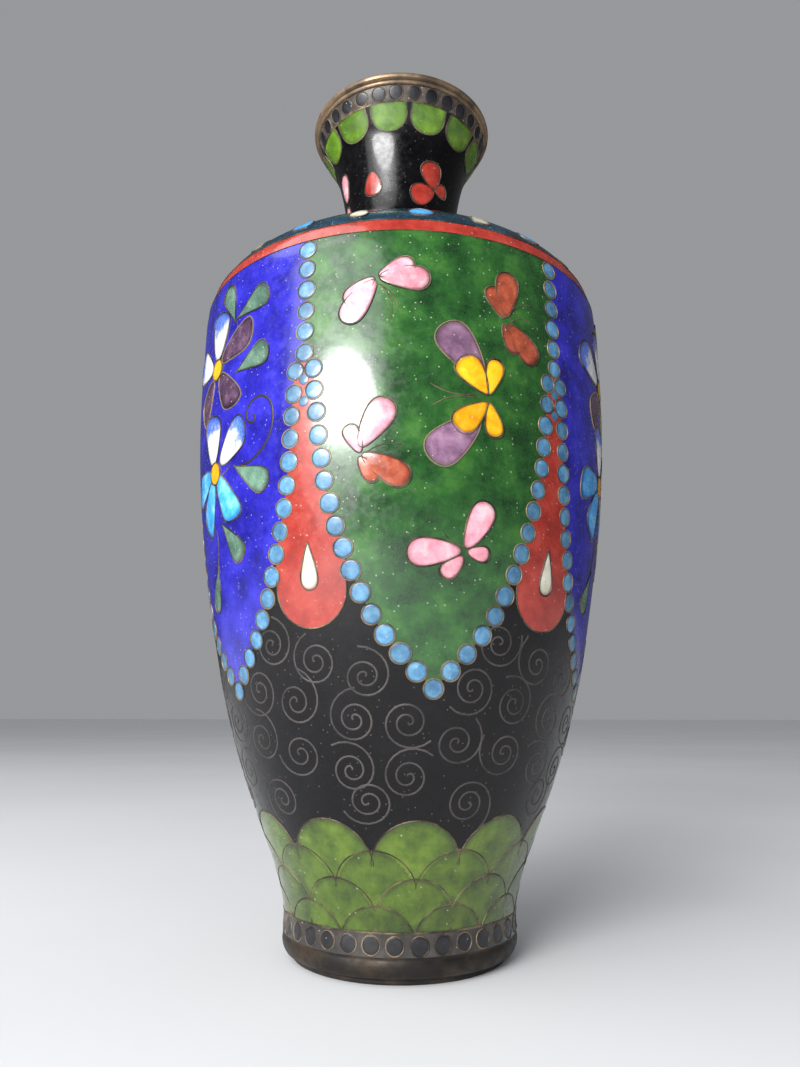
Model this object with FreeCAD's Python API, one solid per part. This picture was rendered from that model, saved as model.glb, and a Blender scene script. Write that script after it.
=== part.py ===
import FreeCAD, Part
import math
import os

V = FreeCAD.Vector
UP = V(0, 0, 1)
ORIGIN = V(0, 0, 0)

# A cloisonne vase: a copper body, brazed from four parts, dressed in cells of glass enamel between
# thin brass wires, with a brass foot ring and a brass lip ring. It stands on its foot. The origin is
# the centre of the foot's underside, +Z runs up the axis, and the middle of the front green panel
# faces -Y.
# All lengths are in millimetres and all angles in degrees. Angles on the wall run anticlockwise as
# seen from above, from the front panel's middle.

# ------------------------------------------------------------------ heights
HEIGHT = 152.0              # foot to lip
FOOT_TOP = 4.0              # top of the metal foot ring
FOOT_BORDER_TOP = 7.1       # top of the dotted border above the foot
SCALES_TOP = 23.0           # tips of the highest row of fish scales
PANEL_TIP = 40.5            # pointed bottom end of each hanging panel
PANEL_SPLIT = 88.3          # below this height the panels part, to make room for the drops
PANELS_TOP = 106.9          # where the panels meet the red band
BAND_TOP = 109.3            # top of the red band
BOWL_TOP = 56.0             # where the copper belly is brazed to the copper bowl
BELLY_TOP = 104.0           # where the copper shoulder is brazed to the belly
NECK_JOINT = 122.0          # where the copper neck is brazed to the shoulder
NECK_START = 124.5          # where the shoulder's enamel meets the neck's
LIP_BORDER_LOW = 147.2      # bottom of the dotted border below the lip
LIP_LOW = 149.9             # bottom of the metal lip ring

# ------------------------------------------------------------------ thicknesses
ENAMEL = 0.9                # outer enamel, and depth of its wires
COPPER = 0.8                # copper wall
LINING = 0.3                # plain enamel inside
WIRE = 0.2                  # cell wires
PLATE = 0.8                 # copper base plate
PLATE_ENAMEL = 0.35         # plain enamel under the base plate

# Outer radius of the polished surface at each height, from the foot ring up to the lip ring.
PROFILE = [
    (FOOT_TOP, 18.8), (FOOT_BORDER_TOP, 18.7), (11.5, 19.6), (18.0, 22.1), (28.0, 26.1),
    (40.0, 29.7), (53.0, 32.4), (67.0, 34.6), (80.0, 35.85), (92.0, 36.2), (102.0, 36.1),
    (107.5, 35.6), (111.3, 33.6), (115.5, 28.6), (119.5, 21.3), (122.6, 14.6), (125.5, 11.5),
    (129.5, 10.5), (134.0, 11.0), (138.0, 11.7), (141.5, 12.55), (144.5, 13.65), (147.2, 15.3),
    (LIP_LOW, 16.6),
]
STATION_STEP = 5.0          # spacing of the points that carry the wall's inner section lines

# ------------------------------------------------------------------ metal mounts
FOOT_EDGE_RADIUS = 17.3     # outer radius at the foot's lower edge
FOOT_EDGE_HEIGHT = 0.9      # height of that plain lower edge
FOOT_BELLY = (18.85, 2.9)   # radius and height of the foot ring's fullest line
FOOT_INNER_RADIUS = 15.4
FOOT_LEDGE_RADIUS = 16.2    # bore of the ring where it passes under the base plate
FOOT_LEDGE_HEIGHT = 3.0     # height at which the bore widens to that ledge
LIP_RADIUS = 17.6           # widest radius of the lip ring
LIP_ROLL = 0.7              # radius of the roll along its top
LIP_ROLL_SPAN = 40.0        # how far below level the roll's round runs on
LIP_BEAD_RISE = 0.8         # height of the small round bead below the roll
LIP_BEAD_SWELL = 0.55       # how far that bead stands out

# ------------------------------------------------------------------ panels, beads and drops
# The angle that each hanging panel takes up, from the front one anticlockwise as seen from above.
# Green ones and blue ones take turns.
PANEL_WIDTHS = [63.0, 58.25, 58.25, 58.25, 58.25, 64.0]
# Half width of a panel below the split, as a share of its half width above it.
PANEL_TAPER = [
    (86.8, 0.93), (75.6, 0.88), (66.0, 0.81), (56.8, 0.66), (50.4, 0.50), (45.1, 0.27),
    (PANEL_TIP, 0.0),
]
PANEL_REACH = 20.0          # half width of the shape that cuts a panel out, beyond its borders
LEVEL_NEAR = 8.0            # how far from the axis a level cutting shape starts
LEVEL_FAR = 45.0            # and ends

BEAD_RADIUS = 1.22          # enamel of one bead
BEAD_PITCH = 3.38           # spacing of the beads along a chain
BEAD_COLUMN_TOP = 105.2     # height of the highest bead
BEADS_PER_COLUMN = 6        # beads that two neighbouring panels share

DROP_RADIUS = 5.55          # round bottom of the red drop between two panels
DROP_CENTRE = 54.3          # height of that round's centre
DROP_LOW = DROP_CENTRE - DROP_RADIUS
DROP_TOP = 84.2             # its narrow top, where the beads on both sides close up
DROP_SWEEP = 24.0           # angle of wall that a drop is cut from
WHITE_DROP_TOP = 60.4
WHITE_DROP_LENGTH = 6.3
WHITE_DROP_WIDTH = 2.5

# ------------------------------------------------------------------ borders of dots, petals, scales
SCALES_PER_ROW = 11
SCALE_ROWS = 4
SCALE_ROW_STEP = 3.85       # height between one row of scale tips and the next
SCALE_RISE = 6.0            # height of a scale's tip over its round's centre
SCALE_FIT = 1.02            # radius of a scale, as a share of half the spacing
SCALE_ANGLE = -2.5          # one tip of the highest row

LIP_DOTS = 30
LIP_DOT_RADIUS = 1.15
LIP_PETALS = 12
LIP_PETAL_WIDTH = 6.4
LIP_PETAL_LENGTH = 6.1
LIP_PETAL_ANGLE = 12.0      # middle of one petal
FOOT_DOTS = 34
FOOT_DOT_RADIUS = 1.2

# ------------------------------------------------------------------ pictures in the panels
# Each leaf-shaped cell is given by the angle and height of its narrow end, the direction it points
# in on the wall (0 to the right, 90 up), its length and its width. In a panel the angle is counted
# from the middle of the panel.
PINK_WINGS = [
    (-13.6, 98.9, 0, 7.0, 3.5), (-13.8, 99.5, 38, 3.8, 2.0), (-14.6, 98.4, 230, 7.4, 3.5),
    (-15.0, 99.0, 200, 3.8, 2.0), (5.7, 59.1, 181, 7.2, 3.6), (5.9, 58.3, 236, 3.4, 1.9),
    (6.9, 59.6, 60, 7.0, 3.4), (7.6, 58.9, -12, 3.0, 1.8), (-17.8, 73.4, 62, 7.6, 3.8),
    (-17.9, 71.9, -82, 2.5, 1.7),
]
RED_WINGS = [
    (16.3, 94.3, 85, 7.2, 3.6), (15.5, 93.9, 140, 3.2, 1.9), (16.9, 93.0, -40, 7.0, 3.6),
    (15.8, 92.7, -112, 2.7, 1.7), (-17.4, 72.3, -28, 7.2, 3.4),
]
YELLOW_WINGS = [
    (10.6, 82.0, 121, 4.9, 3.4), (11.7, 82.0, 62, 4.6, 2.0), (10.6, 80.3, 231, 5.2, 2.7),
    (11.8, 80.2, -63, 3.6, 2.0),
]
MAUVE_WINGS = [(8.2, 87.5, 128, 7.0, 5.1), (8.0, 75.5, 222, 6.8, 4.9)]
# Feelers and stems are bare wires: angle and height of one end, direction, length, sideways bow.
FEELERS = [
    (-13.4, 97.8, -75, 5.7, 0.8), (17.6, 94.3, 38, 5.3, 0.7), (17.9, 93.7, 12, 3.8, 0.6),
    (9.0, 81.6, 172, 7.0, 0.8), (9.2, 80.8, 192, 6.8, -0.8), (-16.6, 73.4, 38, 5.3, 0.7),
    (-16.2, 72.7, 9, 5.1, 0.6),
]
WHITE_PETALS = [
    (0.5, 93.7, 88, 7.0, 5.3), (-3.4, 92.3, 165, 7.8, 4.6), (-1.6, 76.6, 95, 7.4, 5.3),
    (5.0, 75.5, 27, 5.9, 4.4),
]
BLUE_PETALS = [(3.0, 73.2, -42, 6.8, 4.6), (-3.9, 73.3, 200, 8.2, 5.5)]
VIOLET_PETALS = [
    (4.4, 92.5, 14, 7.2, 4.2), (2.8, 89.2, -52, 6.8, 4.4), (-2.8, 89.2, 228, 6.5, 4.2),
]
FLOWER_CENTRES = [(0.4, 90.4), (-0.4, 74.1)]
FLOWER_CENTRE_RADIUS = 1.6
LEAVES = [
    (8.4, 100.0, 118, 5.7, 2.5), (9.8, 99.3, 4, 6.1, 2.7), (12.2, 89.3, 3, 5.9, 2.5),
    (10.8, 73.1, -48, 5.9, 2.4), (2.2, 65.6, -38, 7.2, 2.6), (-3.0, 58.1, 240, 6.3, 2.6),
]
STEMS = [(8.9, 98.9, -88, 3.4, 0.4), (1.4, 69.6, -80, 3.6, 0.4), (-2.0, 64.1, -98, 5.5, 0.5)]
PANEL_CURL = (18.4, 80.5)   # angle and height of the loose curl of wire in a blue panel
PANEL_CURL_START = 0.8
PANEL_CURL_GROWTH = 1.05
PANEL_CURL_HALF_TURNS = 4

# Curls of wire in the lower ground: angle from the nearest drop, height, and hand.
GROUND_CURLS = [
    (-13.5, 46.8, 1), (0.5, 44.1, -1), (13.8, 42.3, 1), (-20.5, 40.6, -1), (-7.0, 38.7, 1),
    (10.0, 36.4, -1), (25.0, 36.0, 1), (-23.5, 33.5, 1), (-8.0, 31.7, -1), (8.6, 29.7, 1),
]
LOW_CURL_HEIGHT = 25.2      # one more curl sits over each notch between the highest scales
CURL_START = 0.74           # radius of a curl's innermost half turn
CURL_GROWTH = 0.69          # growth of that radius with each half turn
CURL_HALF_TURNS = 5
CURL_SINK = 0.1             # a curl is flat, so its middle lies this far under the round surface
GROUND_TOP = 60.6           # the lower ground ends under the drops, below this height

# Flowers on the neck, on its front and its back.
NECK_REPEATS = (0, 180)
NECK_RED = [
    (21.5, 133.2, 200, 4.3, 3.9), (24.5, 134.5, 112, 4.5, 4.1), (25.5, 133.5, -12, 2.9, 2.5),
    (-37.6, 136.4, -90, 4.3, 2.7),
]
NECK_PINK = [(-78.0, 134.3, 90, 5.4, 2.9), (-79.0, 129.4, 92, 3.7, 1.5)]
# Petals on the shoulder, blue and white by turns, round ends outwards.
SHOULDER_PETALS = 11
SHOULDER_PETAL_ANGLE = -3.5
SHOULDER_PETAL_TOP = 114.0
SHOULDER_PETAL_LENGTH = 4.8
SHOULDER_BLUE_WIDTH = 3.6
SHOULDER_WHITE_WIDTH = 2.8

# How far a shape that cuts the enamel reaches under and over the polished surface.
CUT_UNDER = 3.2
CUT_OVER = 1.5
SLIVER = 0.05               # volume of the slivers that two crossing cuts can leave, to be dropped


# ------------------------------------------------------------------ the wall and places on it
def polished_curve():
    """Section line of the polished surface. Its parameter is the height."""
    curve = Part.BSplineCurve()
    heights = [height for height, radius in PROFILE]
    points = [V(radius, 0, height) for height, radius in PROFILE]
    curve.interpolate(Points=points, Parameters=heights)
    return curve


SURFACE = polished_curve()


def wall_curve(depth):
    """Section line at a depth under the polished surface. Its parameter is the surface's height."""
    if depth == 0:
        return SURFACE
    count = round((LIP_LOW - FOOT_TOP) / STATION_STEP)
    stations = [FOOT_TOP + (LIP_LOW - FOOT_TOP) * i / count for i in range(count + 1)]
    points = []
    for station in stations:
        slope = SURFACE.tangent(station)[0]
        inward = V(-slope.z, 0, slope.x)
        points.append(SURFACE.value(station) + inward * depth)
    curve = Part.BSplineCurve()
    curve.interpolate(Points=points, Parameters=stations)
    return curve


def radius_at(height):
    return SURFACE.value(height).x


def skin(low, high, top, bottom, start=0.0, sweep=360.0):
    """The layer of the wall between two depths and two heights, all round or over one sweep."""
    outer = wall_curve(top).copy()
    inner = wall_curve(bottom).copy()
    for curve in (outer, inner):
        curve.segment(low, high)
    edges = [
        outer.toShape(),
        Part.makeLine(outer.value(high), inner.value(high)),
        inner.toShape(),
        Part.makeLine(inner.value(low), outer.value(low)),
    ]
    section = Part.Face(Part.Wire(Part.__sortEdges__(edges)))
    section.rotate(ORIGIN, UP, start - 90)
    return section.revolve(ORIGIN, UP, sweep)


def enamel(low, high, start=0.0, sweep=360.0):
    return skin(low, high, 0, ENAMEL, start, sweep)


def wall_frame(angle, height):
    """Placement at a place on the wall: X to the right, Y up the wall, Z straight out of it."""
    slope = SURFACE.tangent(height)[0]
    turn = math.radians(angle)
    right = V(math.cos(turn), math.sin(turn), 0)
    outward = V(slope.z * math.sin(turn), -slope.z * math.cos(turn), -slope.x)
    up_wall = outward.cross(right)
    radius = radius_at(height)
    place = V(radius * math.sin(turn), -radius * math.cos(turn), height)
    return FreeCAD.Placement(FreeCAD.Matrix(
        right.x, up_wall.x, outward.x, place.x,
        right.y, up_wall.y, outward.y, place.y,
        right.z, up_wall.z, outward.z, place.z,
        0, 0, 0, 1))


def plug(face, angle, height, under=CUT_UNDER, over=CUT_OVER):
    """A flat outline set on the wall and pushed through it, square to the wall."""
    solid = face.extrude(V(0, 0, under + over))
    solid.translate(V(0, 0, -under))
    solid.Placement = wall_frame(angle, height).multiply(solid.Placement)
    return solid


def level_plug(face, angle):
    """An outline of widths and heights, pushed level through the wall on one side of the axis."""
    solid = face.extrude(V(0, 0, LEVEL_FAR - LEVEL_NEAR))
    solid.translate(V(0, 0, LEVEL_NEAR))
    solid.rotate(ORIGIN, V(1, 0, 0), 90)
    solid.rotate(ORIGIN, UP, angle)
    return solid


# ------------------------------------------------------------------ outlines
def disc(radius):
    return Part.Face(Part.Wire(Part.makeCircle(radius)))


def leaf(length, width, direction=0.0):
    """A drop shape: pointed at the origin, round at the far end."""
    radius = width / 2
    reach = length - radius
    lean = math.acos(radius / reach)
    touch_x = reach - radius * math.cos(lean)
    touch_y = radius * math.sin(lean)
    point_below = V(touch_x, -touch_y, 0)
    point_above = V(touch_x, touch_y, 0)
    edges = [
        Part.makeLine(ORIGIN, point_below),
        Part.Arc(point_below, V(length, 0, 0), point_above).toShape(),
        Part.makeLine(point_above, ORIGIN),
    ]
    face = Part.Face(Part.Wire(edges))
    face.rotate(ORIGIN, UP, direction)
    return face


def grown(face):
    """The outline of a cell with its wire round it."""
    return face.makeOffset2D(WIRE)


def strip(length, bow, direction=0.0):
    """A bare wire on edge, bowed to one side."""
    half = WIRE / 2
    lower = Part.Arc(V(0, -half, 0), V(length / 2, bow - half, 0), V(length, -half, 0)).toShape()
    upper = Part.Arc(V(length, half, 0), V(length / 2, bow + half, 0), V(0, half, 0)).toShape()
    start = Part.makeLine(V(0, half, 0), V(0, -half, 0))
    end = Part.makeLine(V(length, -half, 0), V(length, half, 0))
    face = Part.Face(Part.Wire([lower, end, upper, start]))
    face.rotate(ORIGIN, UP, direction)
    return face


def curl(start_radius, growth, half_turns, hand=1, direction=0.0):
    """A wire wound into a flat spiral of half turns, each wider than the one inside it."""
    outer_side = []
    inner_side = []
    for turn in range(half_turns):
        centre_x = growth * (turn % 2)
        facing = 1 if turn % 2 == 0 else -1
        radius = start_radius + growth * turn
        for side, offset in ((outer_side, WIRE / 2), (inner_side, -WIRE / 2)):
            reach = radius + offset
            begin = V(centre_x + facing * reach, 0, 0)
            middle = V(centre_x, facing * hand * reach, 0)
            finish = V(centre_x - facing * reach, 0, 0)
            side.append(Part.Arc(begin, middle, finish).toShape())
    first = (start_radius - WIRE / 2, start_radius + WIRE / 2)
    last = half_turns - 1
    last_x = growth * (last % 2)
    facing = 1 if last % 2 == 0 else -1
    last_radius = start_radius + growth * last
    inside = V(last_x - facing * (last_radius - WIRE / 2), 0, 0)
    outside = V(last_x - facing * (last_radius + WIRE / 2), 0, 0)
    ends = [Part.makeLine(V(first[0], 0, 0), V(first[1], 0, 0)), Part.makeLine(inside, outside)]
    face = Part.Face(Part.Wire(Part.__sortEdges__(outer_side + inner_side + ends)))
    face.translate(V(-growth / 2, 0, 0))
    face.rotate(ORIGIN, UP, direction)
    return face


# ------------------------------------------------------------------ panels
class Panel:
    """One hanging panel: where it is and the lines that bound it."""

    def __init__(self, start, width, green):
        self.start = start
        self.width = width
        self.middle = start + width / 2
        self.green = green

    def side(self):
        """The line of bead centres down the right-hand side, as widths and heights."""
        points = []
        for height, share in PANEL_TAPER:
            swing = math.radians(share * self.width / 2)
            points.append(V(radius_at(height) * math.sin(swing), height, 0))
        curve = Part.BSplineCurve()
        curve.interpolate(Points=points)
        return curve.toShape()

    def outline(self):
        right = self.side()
        left = right.mirror(ORIGIN, V(1, 0, 0))
        shoulder = radius_at(PANEL_SPLIT) * math.sin(math.radians(self.width / 2))
        top_right = right.Vertexes[0].Point
        corners = [
            top_right, V(shoulder, PANEL_SPLIT, 0), V(PANEL_REACH, PANEL_SPLIT, 0),
            V(PANEL_REACH, PANELS_TOP + 1, 0), V(-PANEL_REACH, PANELS_TOP + 1, 0),
            V(-PANEL_REACH, PANEL_SPLIT, 0), V(-shoulder, PANEL_SPLIT, 0),
            V(-top_right.x, top_right.y, 0),
        ]
        frame = [Part.makeLine(a, b) for a, b in zip(corners, corners[1:])]
        return Part.Face(Part.Wire(Part.__sortEdges__([right, left] + frame)))

    def cutter(self):
        return level_plug(self.outline(), self.middle)

    def zone(self):
        return enamel(PANEL_TIP - 1, PANELS_TOP - WIRE / 2, self.start, self.width)

    def bead_places(self):
        """Beads along this panel's own chain, down one side to the tip and up the other."""
        side = self.side()
        count = round(side.Length / BEAD_PITCH)
        places = []
        for point in side.discretize(Number=count + 1):
            swing = math.degrees(math.asin(min(1.0, point.x / radius_at(point.y))))
            places.append((self.middle + swing, point.y))
            if point.x > WIRE:
                places.append((self.middle - swing, point.y))
        return places

    def column_places(self):
        """Beads on the border that this panel shares with the one before it."""
        return [(self.start, BEAD_COLUMN_TOP - BEAD_PITCH * i) for i in range(BEADS_PER_COLUMN)]


def make_panels():
    panels = []
    start = -PANEL_WIDTHS[0] / 2
    for index, width in enumerate(PANEL_WIDTHS):
        panels.append(Panel(start, width, index % 2 == 0))
        start += width
    return panels


# ------------------------------------------------------------------ cells and wires
class Cells:
    """Plugs for one colour of cell, and the wider plugs that also take in the wires."""

    def __init__(self):
        self.inner = []
        self.outer = []

    def add(self, face, angle, height):
        self.inner.append(plug(face, angle, height))
        self.outer.append(plug(grown(face), angle, height))

    def add_leaves(self, leaves, middle=0.0):
        for angle, height, direction, length, width in leaves:
            self.add(leaf(length, width, direction), middle + angle, height)


def fill(zone, kinds, nodes):
    """Cut the cells of each kind out of a zone, the first kinds lying over the later ones.

    Adds their enamel to the nodes of the same names. Returns the wires round them and the
    plugs that take both out of the ground."""
    taken = []
    wires = []
    for name, cells in kinds:
        pieces = zone.common(cells.inner)
        rims = zone.common(cells.outer).cut(cells.inner)
        if taken:
            pieces = pieces.cut(taken)
            rims = rims.cut(taken)
        nodes.setdefault(name, []).extend(pieces.Solids)
        wires.extend(rims.Solids)
        taken = taken + cells.outer
    return wires, taken


def peg(radius, angle, height):
    """A round cell, small enough for its flat top to lie on the surface."""
    return plug(disc(radius), angle, height, ENAMEL, 0)


def ring(radius, angle, height):
    return plug(disc(radius + WIRE).cut(disc(radius)), angle, height, ENAMEL, 0)


def socket(radius, angle, height):
    return plug(disc(radius + WIRE), angle, height)


def around(count, first):
    return [first + 360 * i / count for i in range(count)]


def dotted_border(low, high, count, radius, names, nodes):
    """A band of round cells in a plain ground, all the way round."""
    middle = (low + high) / 2
    angles = around(count, 0)
    dots_name, wires_name, ground_name = names
    nodes[dots_name] = [peg(radius, angle, middle) for angle in angles]
    nodes[wires_name] = [ring(radius, angle, middle) for angle in angles]
    sockets = [socket(radius, angle, middle) for angle in angles]
    nodes[ground_name] = enamel(low, high).cut(sockets).Solids


# ------------------------------------------------------------------ metal and plain enamel
def revolved(edges):
    section = Part.Face(Part.Wire(Part.__sortEdges__(edges)))
    return section.revolve(ORIGIN, UP, 360)


def chain_of_lines(points):
    return [Part.makeLine(a, b) for a, b in zip(points, points[1:])]


def wall_end(station, depth):
    return wall_curve(depth).value(station)


def foot_ring():
    wall = wall_end(FOOT_TOP, 0)
    under_wall = wall_end(FOOT_TOP, ENAMEL + COPPER)
    belly_radius, belly_height = FOOT_BELLY
    edge_top = V(FOOT_EDGE_RADIUS, 0, FOOT_EDGE_HEIGHT)
    flare = Part.Arc(edge_top, V(belly_radius, 0, belly_height), wall).toShape()
    rest = chain_of_lines([
        wall, under_wall, V(FOOT_LEDGE_RADIUS, 0, under_wall.z),
        V(FOOT_LEDGE_RADIUS, 0, FOOT_LEDGE_HEIGHT), V(FOOT_INNER_RADIUS, 0, FOOT_LEDGE_HEIGHT),
        V(FOOT_INNER_RADIUS, 0, 0), V(FOOT_EDGE_RADIUS, 0, 0), edge_top])
    return revolved([flare] + rest)


def lip_ring():
    wall = wall_end(LIP_LOW, 0)
    inside = wall_end(LIP_LOW, ENAMEL + COPPER + LINING)
    centre = V(LIP_RADIUS - LIP_ROLL, 0, HEIGHT - LIP_ROLL)
    fall = math.radians(LIP_ROLL_SPAN)
    roll_low = centre + V(math.cos(fall), 0, -math.sin(fall)) * LIP_ROLL
    roll_in = centre - V(LIP_ROLL, 0, 0)
    roll = Part.Arc(roll_low, centre + V(0, 0, LIP_ROLL), roll_in).toShape()
    bead_top = V(wall.x, 0, wall.z + LIP_BEAD_RISE)
    bead_out = V(wall.x + LIP_BEAD_SWELL, 0, wall.z + LIP_BEAD_RISE / 2)
    bead = Part.Arc(wall, bead_out, bead_top).toShape()
    rest = chain_of_lines([bead_top, roll_low]) + chain_of_lines([roll_in, inside, wall])
    return revolved([roll, bead] + rest)


def base_level():
    return wall_end(FOOT_TOP, ENAMEL + COPPER).z


def base_plate(copper_bowl):
    reach = wall_end(FOOT_TOP, ENAMEL + COPPER).x + COPPER / 4
    disc = Part.makeCylinder(reach, PLATE, V(0, 0, base_level())).cut(copper_bowl)
    return max(disc.Solids, key=lambda solid: solid.Volume)


def base_enamel():
    return Part.makeCylinder(FOOT_LEDGE_RADIUS, PLATE_ENAMEL, V(0, 0, base_level() - PLATE_ENAMEL))


def inner_enamel():
    """Plain enamel over the whole inside: the wall from the base plate to the lip, and the floor."""
    depth = ENAMEL + COPPER
    floor_level = base_level() + PLATE
    wall = skin(floor_level + LINING, LIP_LOW, depth, depth + LINING)
    floor_radius = wall_end(floor_level, depth).x
    floor = Part.makeCylinder(floor_radius, LINING + PLATE / 4, V(0, 0, floor_level))
    return wall.fuse(floor).removeSplitter()


def add_metal_and_linings(nodes):
    seams = [FOOT_TOP, BOWL_TOP, BELLY_TOP, NECK_JOINT, LIP_LOW]
    copper = ["copper_bowl", "copper_belly", "copper_shoulder", "copper_neck"]
    for node, low, high in zip(copper, seams, seams[1:]):
        nodes[node] = [skin(low, high, ENAMEL, ENAMEL + COPPER)]
    nodes["base_plate"] = [base_plate(nodes["copper_bowl"][0])]
    nodes["foot_ring"] = [foot_ring()]
    nodes["lip_ring"] = [lip_ring()]
    nodes["inner_enamel"] = [inner_enamel()]
    nodes["base_enamel"] = [base_enamel()]


# ------------------------------------------------------------------ lip, neck and shoulder
def round_ended(width, length):
    """A petal that hangs from a straight edge, round at the bottom."""
    half = width / 2
    corners = [V(-half, half - length, 0), V(-half, 1, 0), V(half, 1, 0), V(half, half - length, 0)]
    round_end = Part.Arc(corners[0], V(0, -length, 0), corners[-1]).toShape()
    return Part.Face(Part.Wire(Part.__sortEdges__(chain_of_lines(corners) + [round_end])))


def add_lip_and_neck(nodes):
    dotted_border(
        LIP_BORDER_LOW + WIRE / 2, LIP_LOW, LIP_DOTS, LIP_DOT_RADIUS,
        ("lip_dots_enamel", "lip_dot_wires", "lip_border_enamel"), nodes)

    neck = enamel(NECK_START + WIRE / 2, LIP_BORDER_LOW - WIRE / 2)
    petals = Cells()
    for angle in around(LIP_PETALS, LIP_PETAL_ANGLE):
        petals.add(round_ended(LIP_PETAL_WIDTH, LIP_PETAL_LENGTH), angle, LIP_BORDER_LOW)
    nodes["lip_petal_wires"], petal_plugs = fill(neck, [("lip_petals_enamel", petals)], nodes)

    red = Cells()
    pink = Cells()
    for repeat in NECK_REPEATS:
        red.add_leaves(NECK_RED, repeat)
        pink.add_leaves(NECK_PINK, repeat)
    kinds = [("neck_petals_red_enamel", red), ("neck_petals_pink_enamel", pink)]
    nodes["neck_wires"], flower_plugs = fill(neck, kinds, nodes)
    nodes["neck_ground_enamel"] = neck.cut(petal_plugs + flower_plugs).Solids


def add_shoulder(nodes):
    shoulder = enamel(BAND_TOP + WIRE / 2, NECK_START - WIRE / 2)
    blue = Cells()
    white = Cells()
    half_step = 180 / SHOULDER_PETALS
    for angle in around(SHOULDER_PETALS, SHOULDER_PETAL_ANGLE):
        blue.add(leaf(SHOULDER_PETAL_LENGTH, SHOULDER_BLUE_WIDTH, -90), angle, SHOULDER_PETAL_TOP)
        white.add(
            leaf(SHOULDER_PETAL_LENGTH, SHOULDER_WHITE_WIDTH, -90), angle + half_step,
            SHOULDER_PETAL_TOP)
    kinds = [("shoulder_petals_blue_enamel", blue), ("shoulder_petals_white_enamel", white)]
    nodes["shoulder_wires"], plugs = fill(shoulder, kinds, nodes)
    nodes["shoulder_ground_enamel"] = shoulder.cut(plugs).Solids
    nodes["shoulder_band_enamel"] = [enamel(PANELS_TOP + WIRE / 2, BAND_TOP - WIRE / 2)]


# ------------------------------------------------------------------ the six panels
def green_pictures(panel):
    pink, red, yellow, mauve = Cells(), Cells(), Cells(), Cells()
    pink.add_leaves(PINK_WINGS, panel.middle)
    red.add_leaves(RED_WINGS, panel.middle)
    yellow.add_leaves(YELLOW_WINGS, panel.middle)
    mauve.add_leaves(MAUVE_WINGS, panel.middle)
    return [
        ("wings_pink_enamel", pink), ("wings_red_enamel", red), ("wings_yellow_enamel", yellow),
        ("wings_mauve_enamel", mauve)]


def blue_pictures(panel):
    centres, white, blue, violet, leaves = Cells(), Cells(), Cells(), Cells(), Cells()
    for angle, height in FLOWER_CENTRES:
        centres.add(disc(FLOWER_CENTRE_RADIUS), panel.middle + angle, height)
    white.add_leaves(WHITE_PETALS, panel.middle)
    blue.add_leaves(BLUE_PETALS, panel.middle)
    violet.add_leaves(VIOLET_PETALS, panel.middle)
    leaves.add_leaves(LEAVES, panel.middle)
    return [
        ("flower_centres_enamel", centres), ("flower_petals_white_enamel", white),
        ("flower_petals_blue_enamel", blue), ("flower_petals_violet_enamel", violet),
        ("leaves_enamel", leaves)]


def bare_wires(panel):
    """Wires of a panel's picture that bound no cell."""
    if panel.green:
        wires = FEELERS
        plugs = []
    else:
        wires = STEMS
        face = curl(PANEL_CURL_START, PANEL_CURL_GROWTH, PANEL_CURL_HALF_TURNS)
        plugs = [plug(face, panel.middle + PANEL_CURL[0], PANEL_CURL[1])]
    for angle, height, direction, length, bow in wires:
        plugs.append(plug(strip(length, bow, direction), panel.middle + angle, height))
    return plugs


def add_panels(panels, nodes):
    bead_places = []
    for panel in panels:
        bead_places += panel.column_places() + panel.bead_places()
    sockets = [socket(BEAD_RADIUS, angle, height) for angle, height in bead_places]
    nodes["pearl_beads_enamel"] = [peg(BEAD_RADIUS, angle, height) for angle, height in bead_places]
    nodes["bead_wires"] = [ring(BEAD_RADIUS, angle, height) for angle, height in bead_places]

    for index, panel in enumerate(panels):
        colour = "green" if panel.green else "blue"
        wires_name = "butterfly_wires" if panel.green else "flower_wires"
        pictures = green_pictures(panel) if panel.green else blue_pictures(panel)
        zone = panel.zone().common(panel.cutter()).cut(sockets)
        wires, plugs = fill(zone, pictures, nodes)
        bare = bare_wires(panel)
        wires += zone.common(bare).cut(plugs).Solids
        nodes.setdefault(wires_name, []).extend(wires)
        nodes[f"{colour}_panel_{index // 2 + 1}"] = zone.cut(plugs + bare).Solids
    return sockets


# ------------------------------------------------------------------ drops and lower ground
def drop_outline(radius):
    """A red drop before the panels beside it take their share: straight sides, round bottom."""
    corners = [
        V(-radius, DROP_CENTRE, 0), V(-radius, PANEL_SPLIT, 0), V(radius, PANEL_SPLIT, 0),
        V(radius, DROP_CENTRE, 0)]
    round_end = Part.Arc(corners[0], V(0, DROP_CENTRE - radius, 0), corners[-1]).toShape()
    return Part.Face(Part.Wire(Part.__sortEdges__(chain_of_lines(corners) + [round_end])))


def meeting(shapes, zone):
    """Those shapes that may reach a zone."""
    return [shape for shape in shapes if shape.BoundBox.intersect(zone.BoundBox)]


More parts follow.
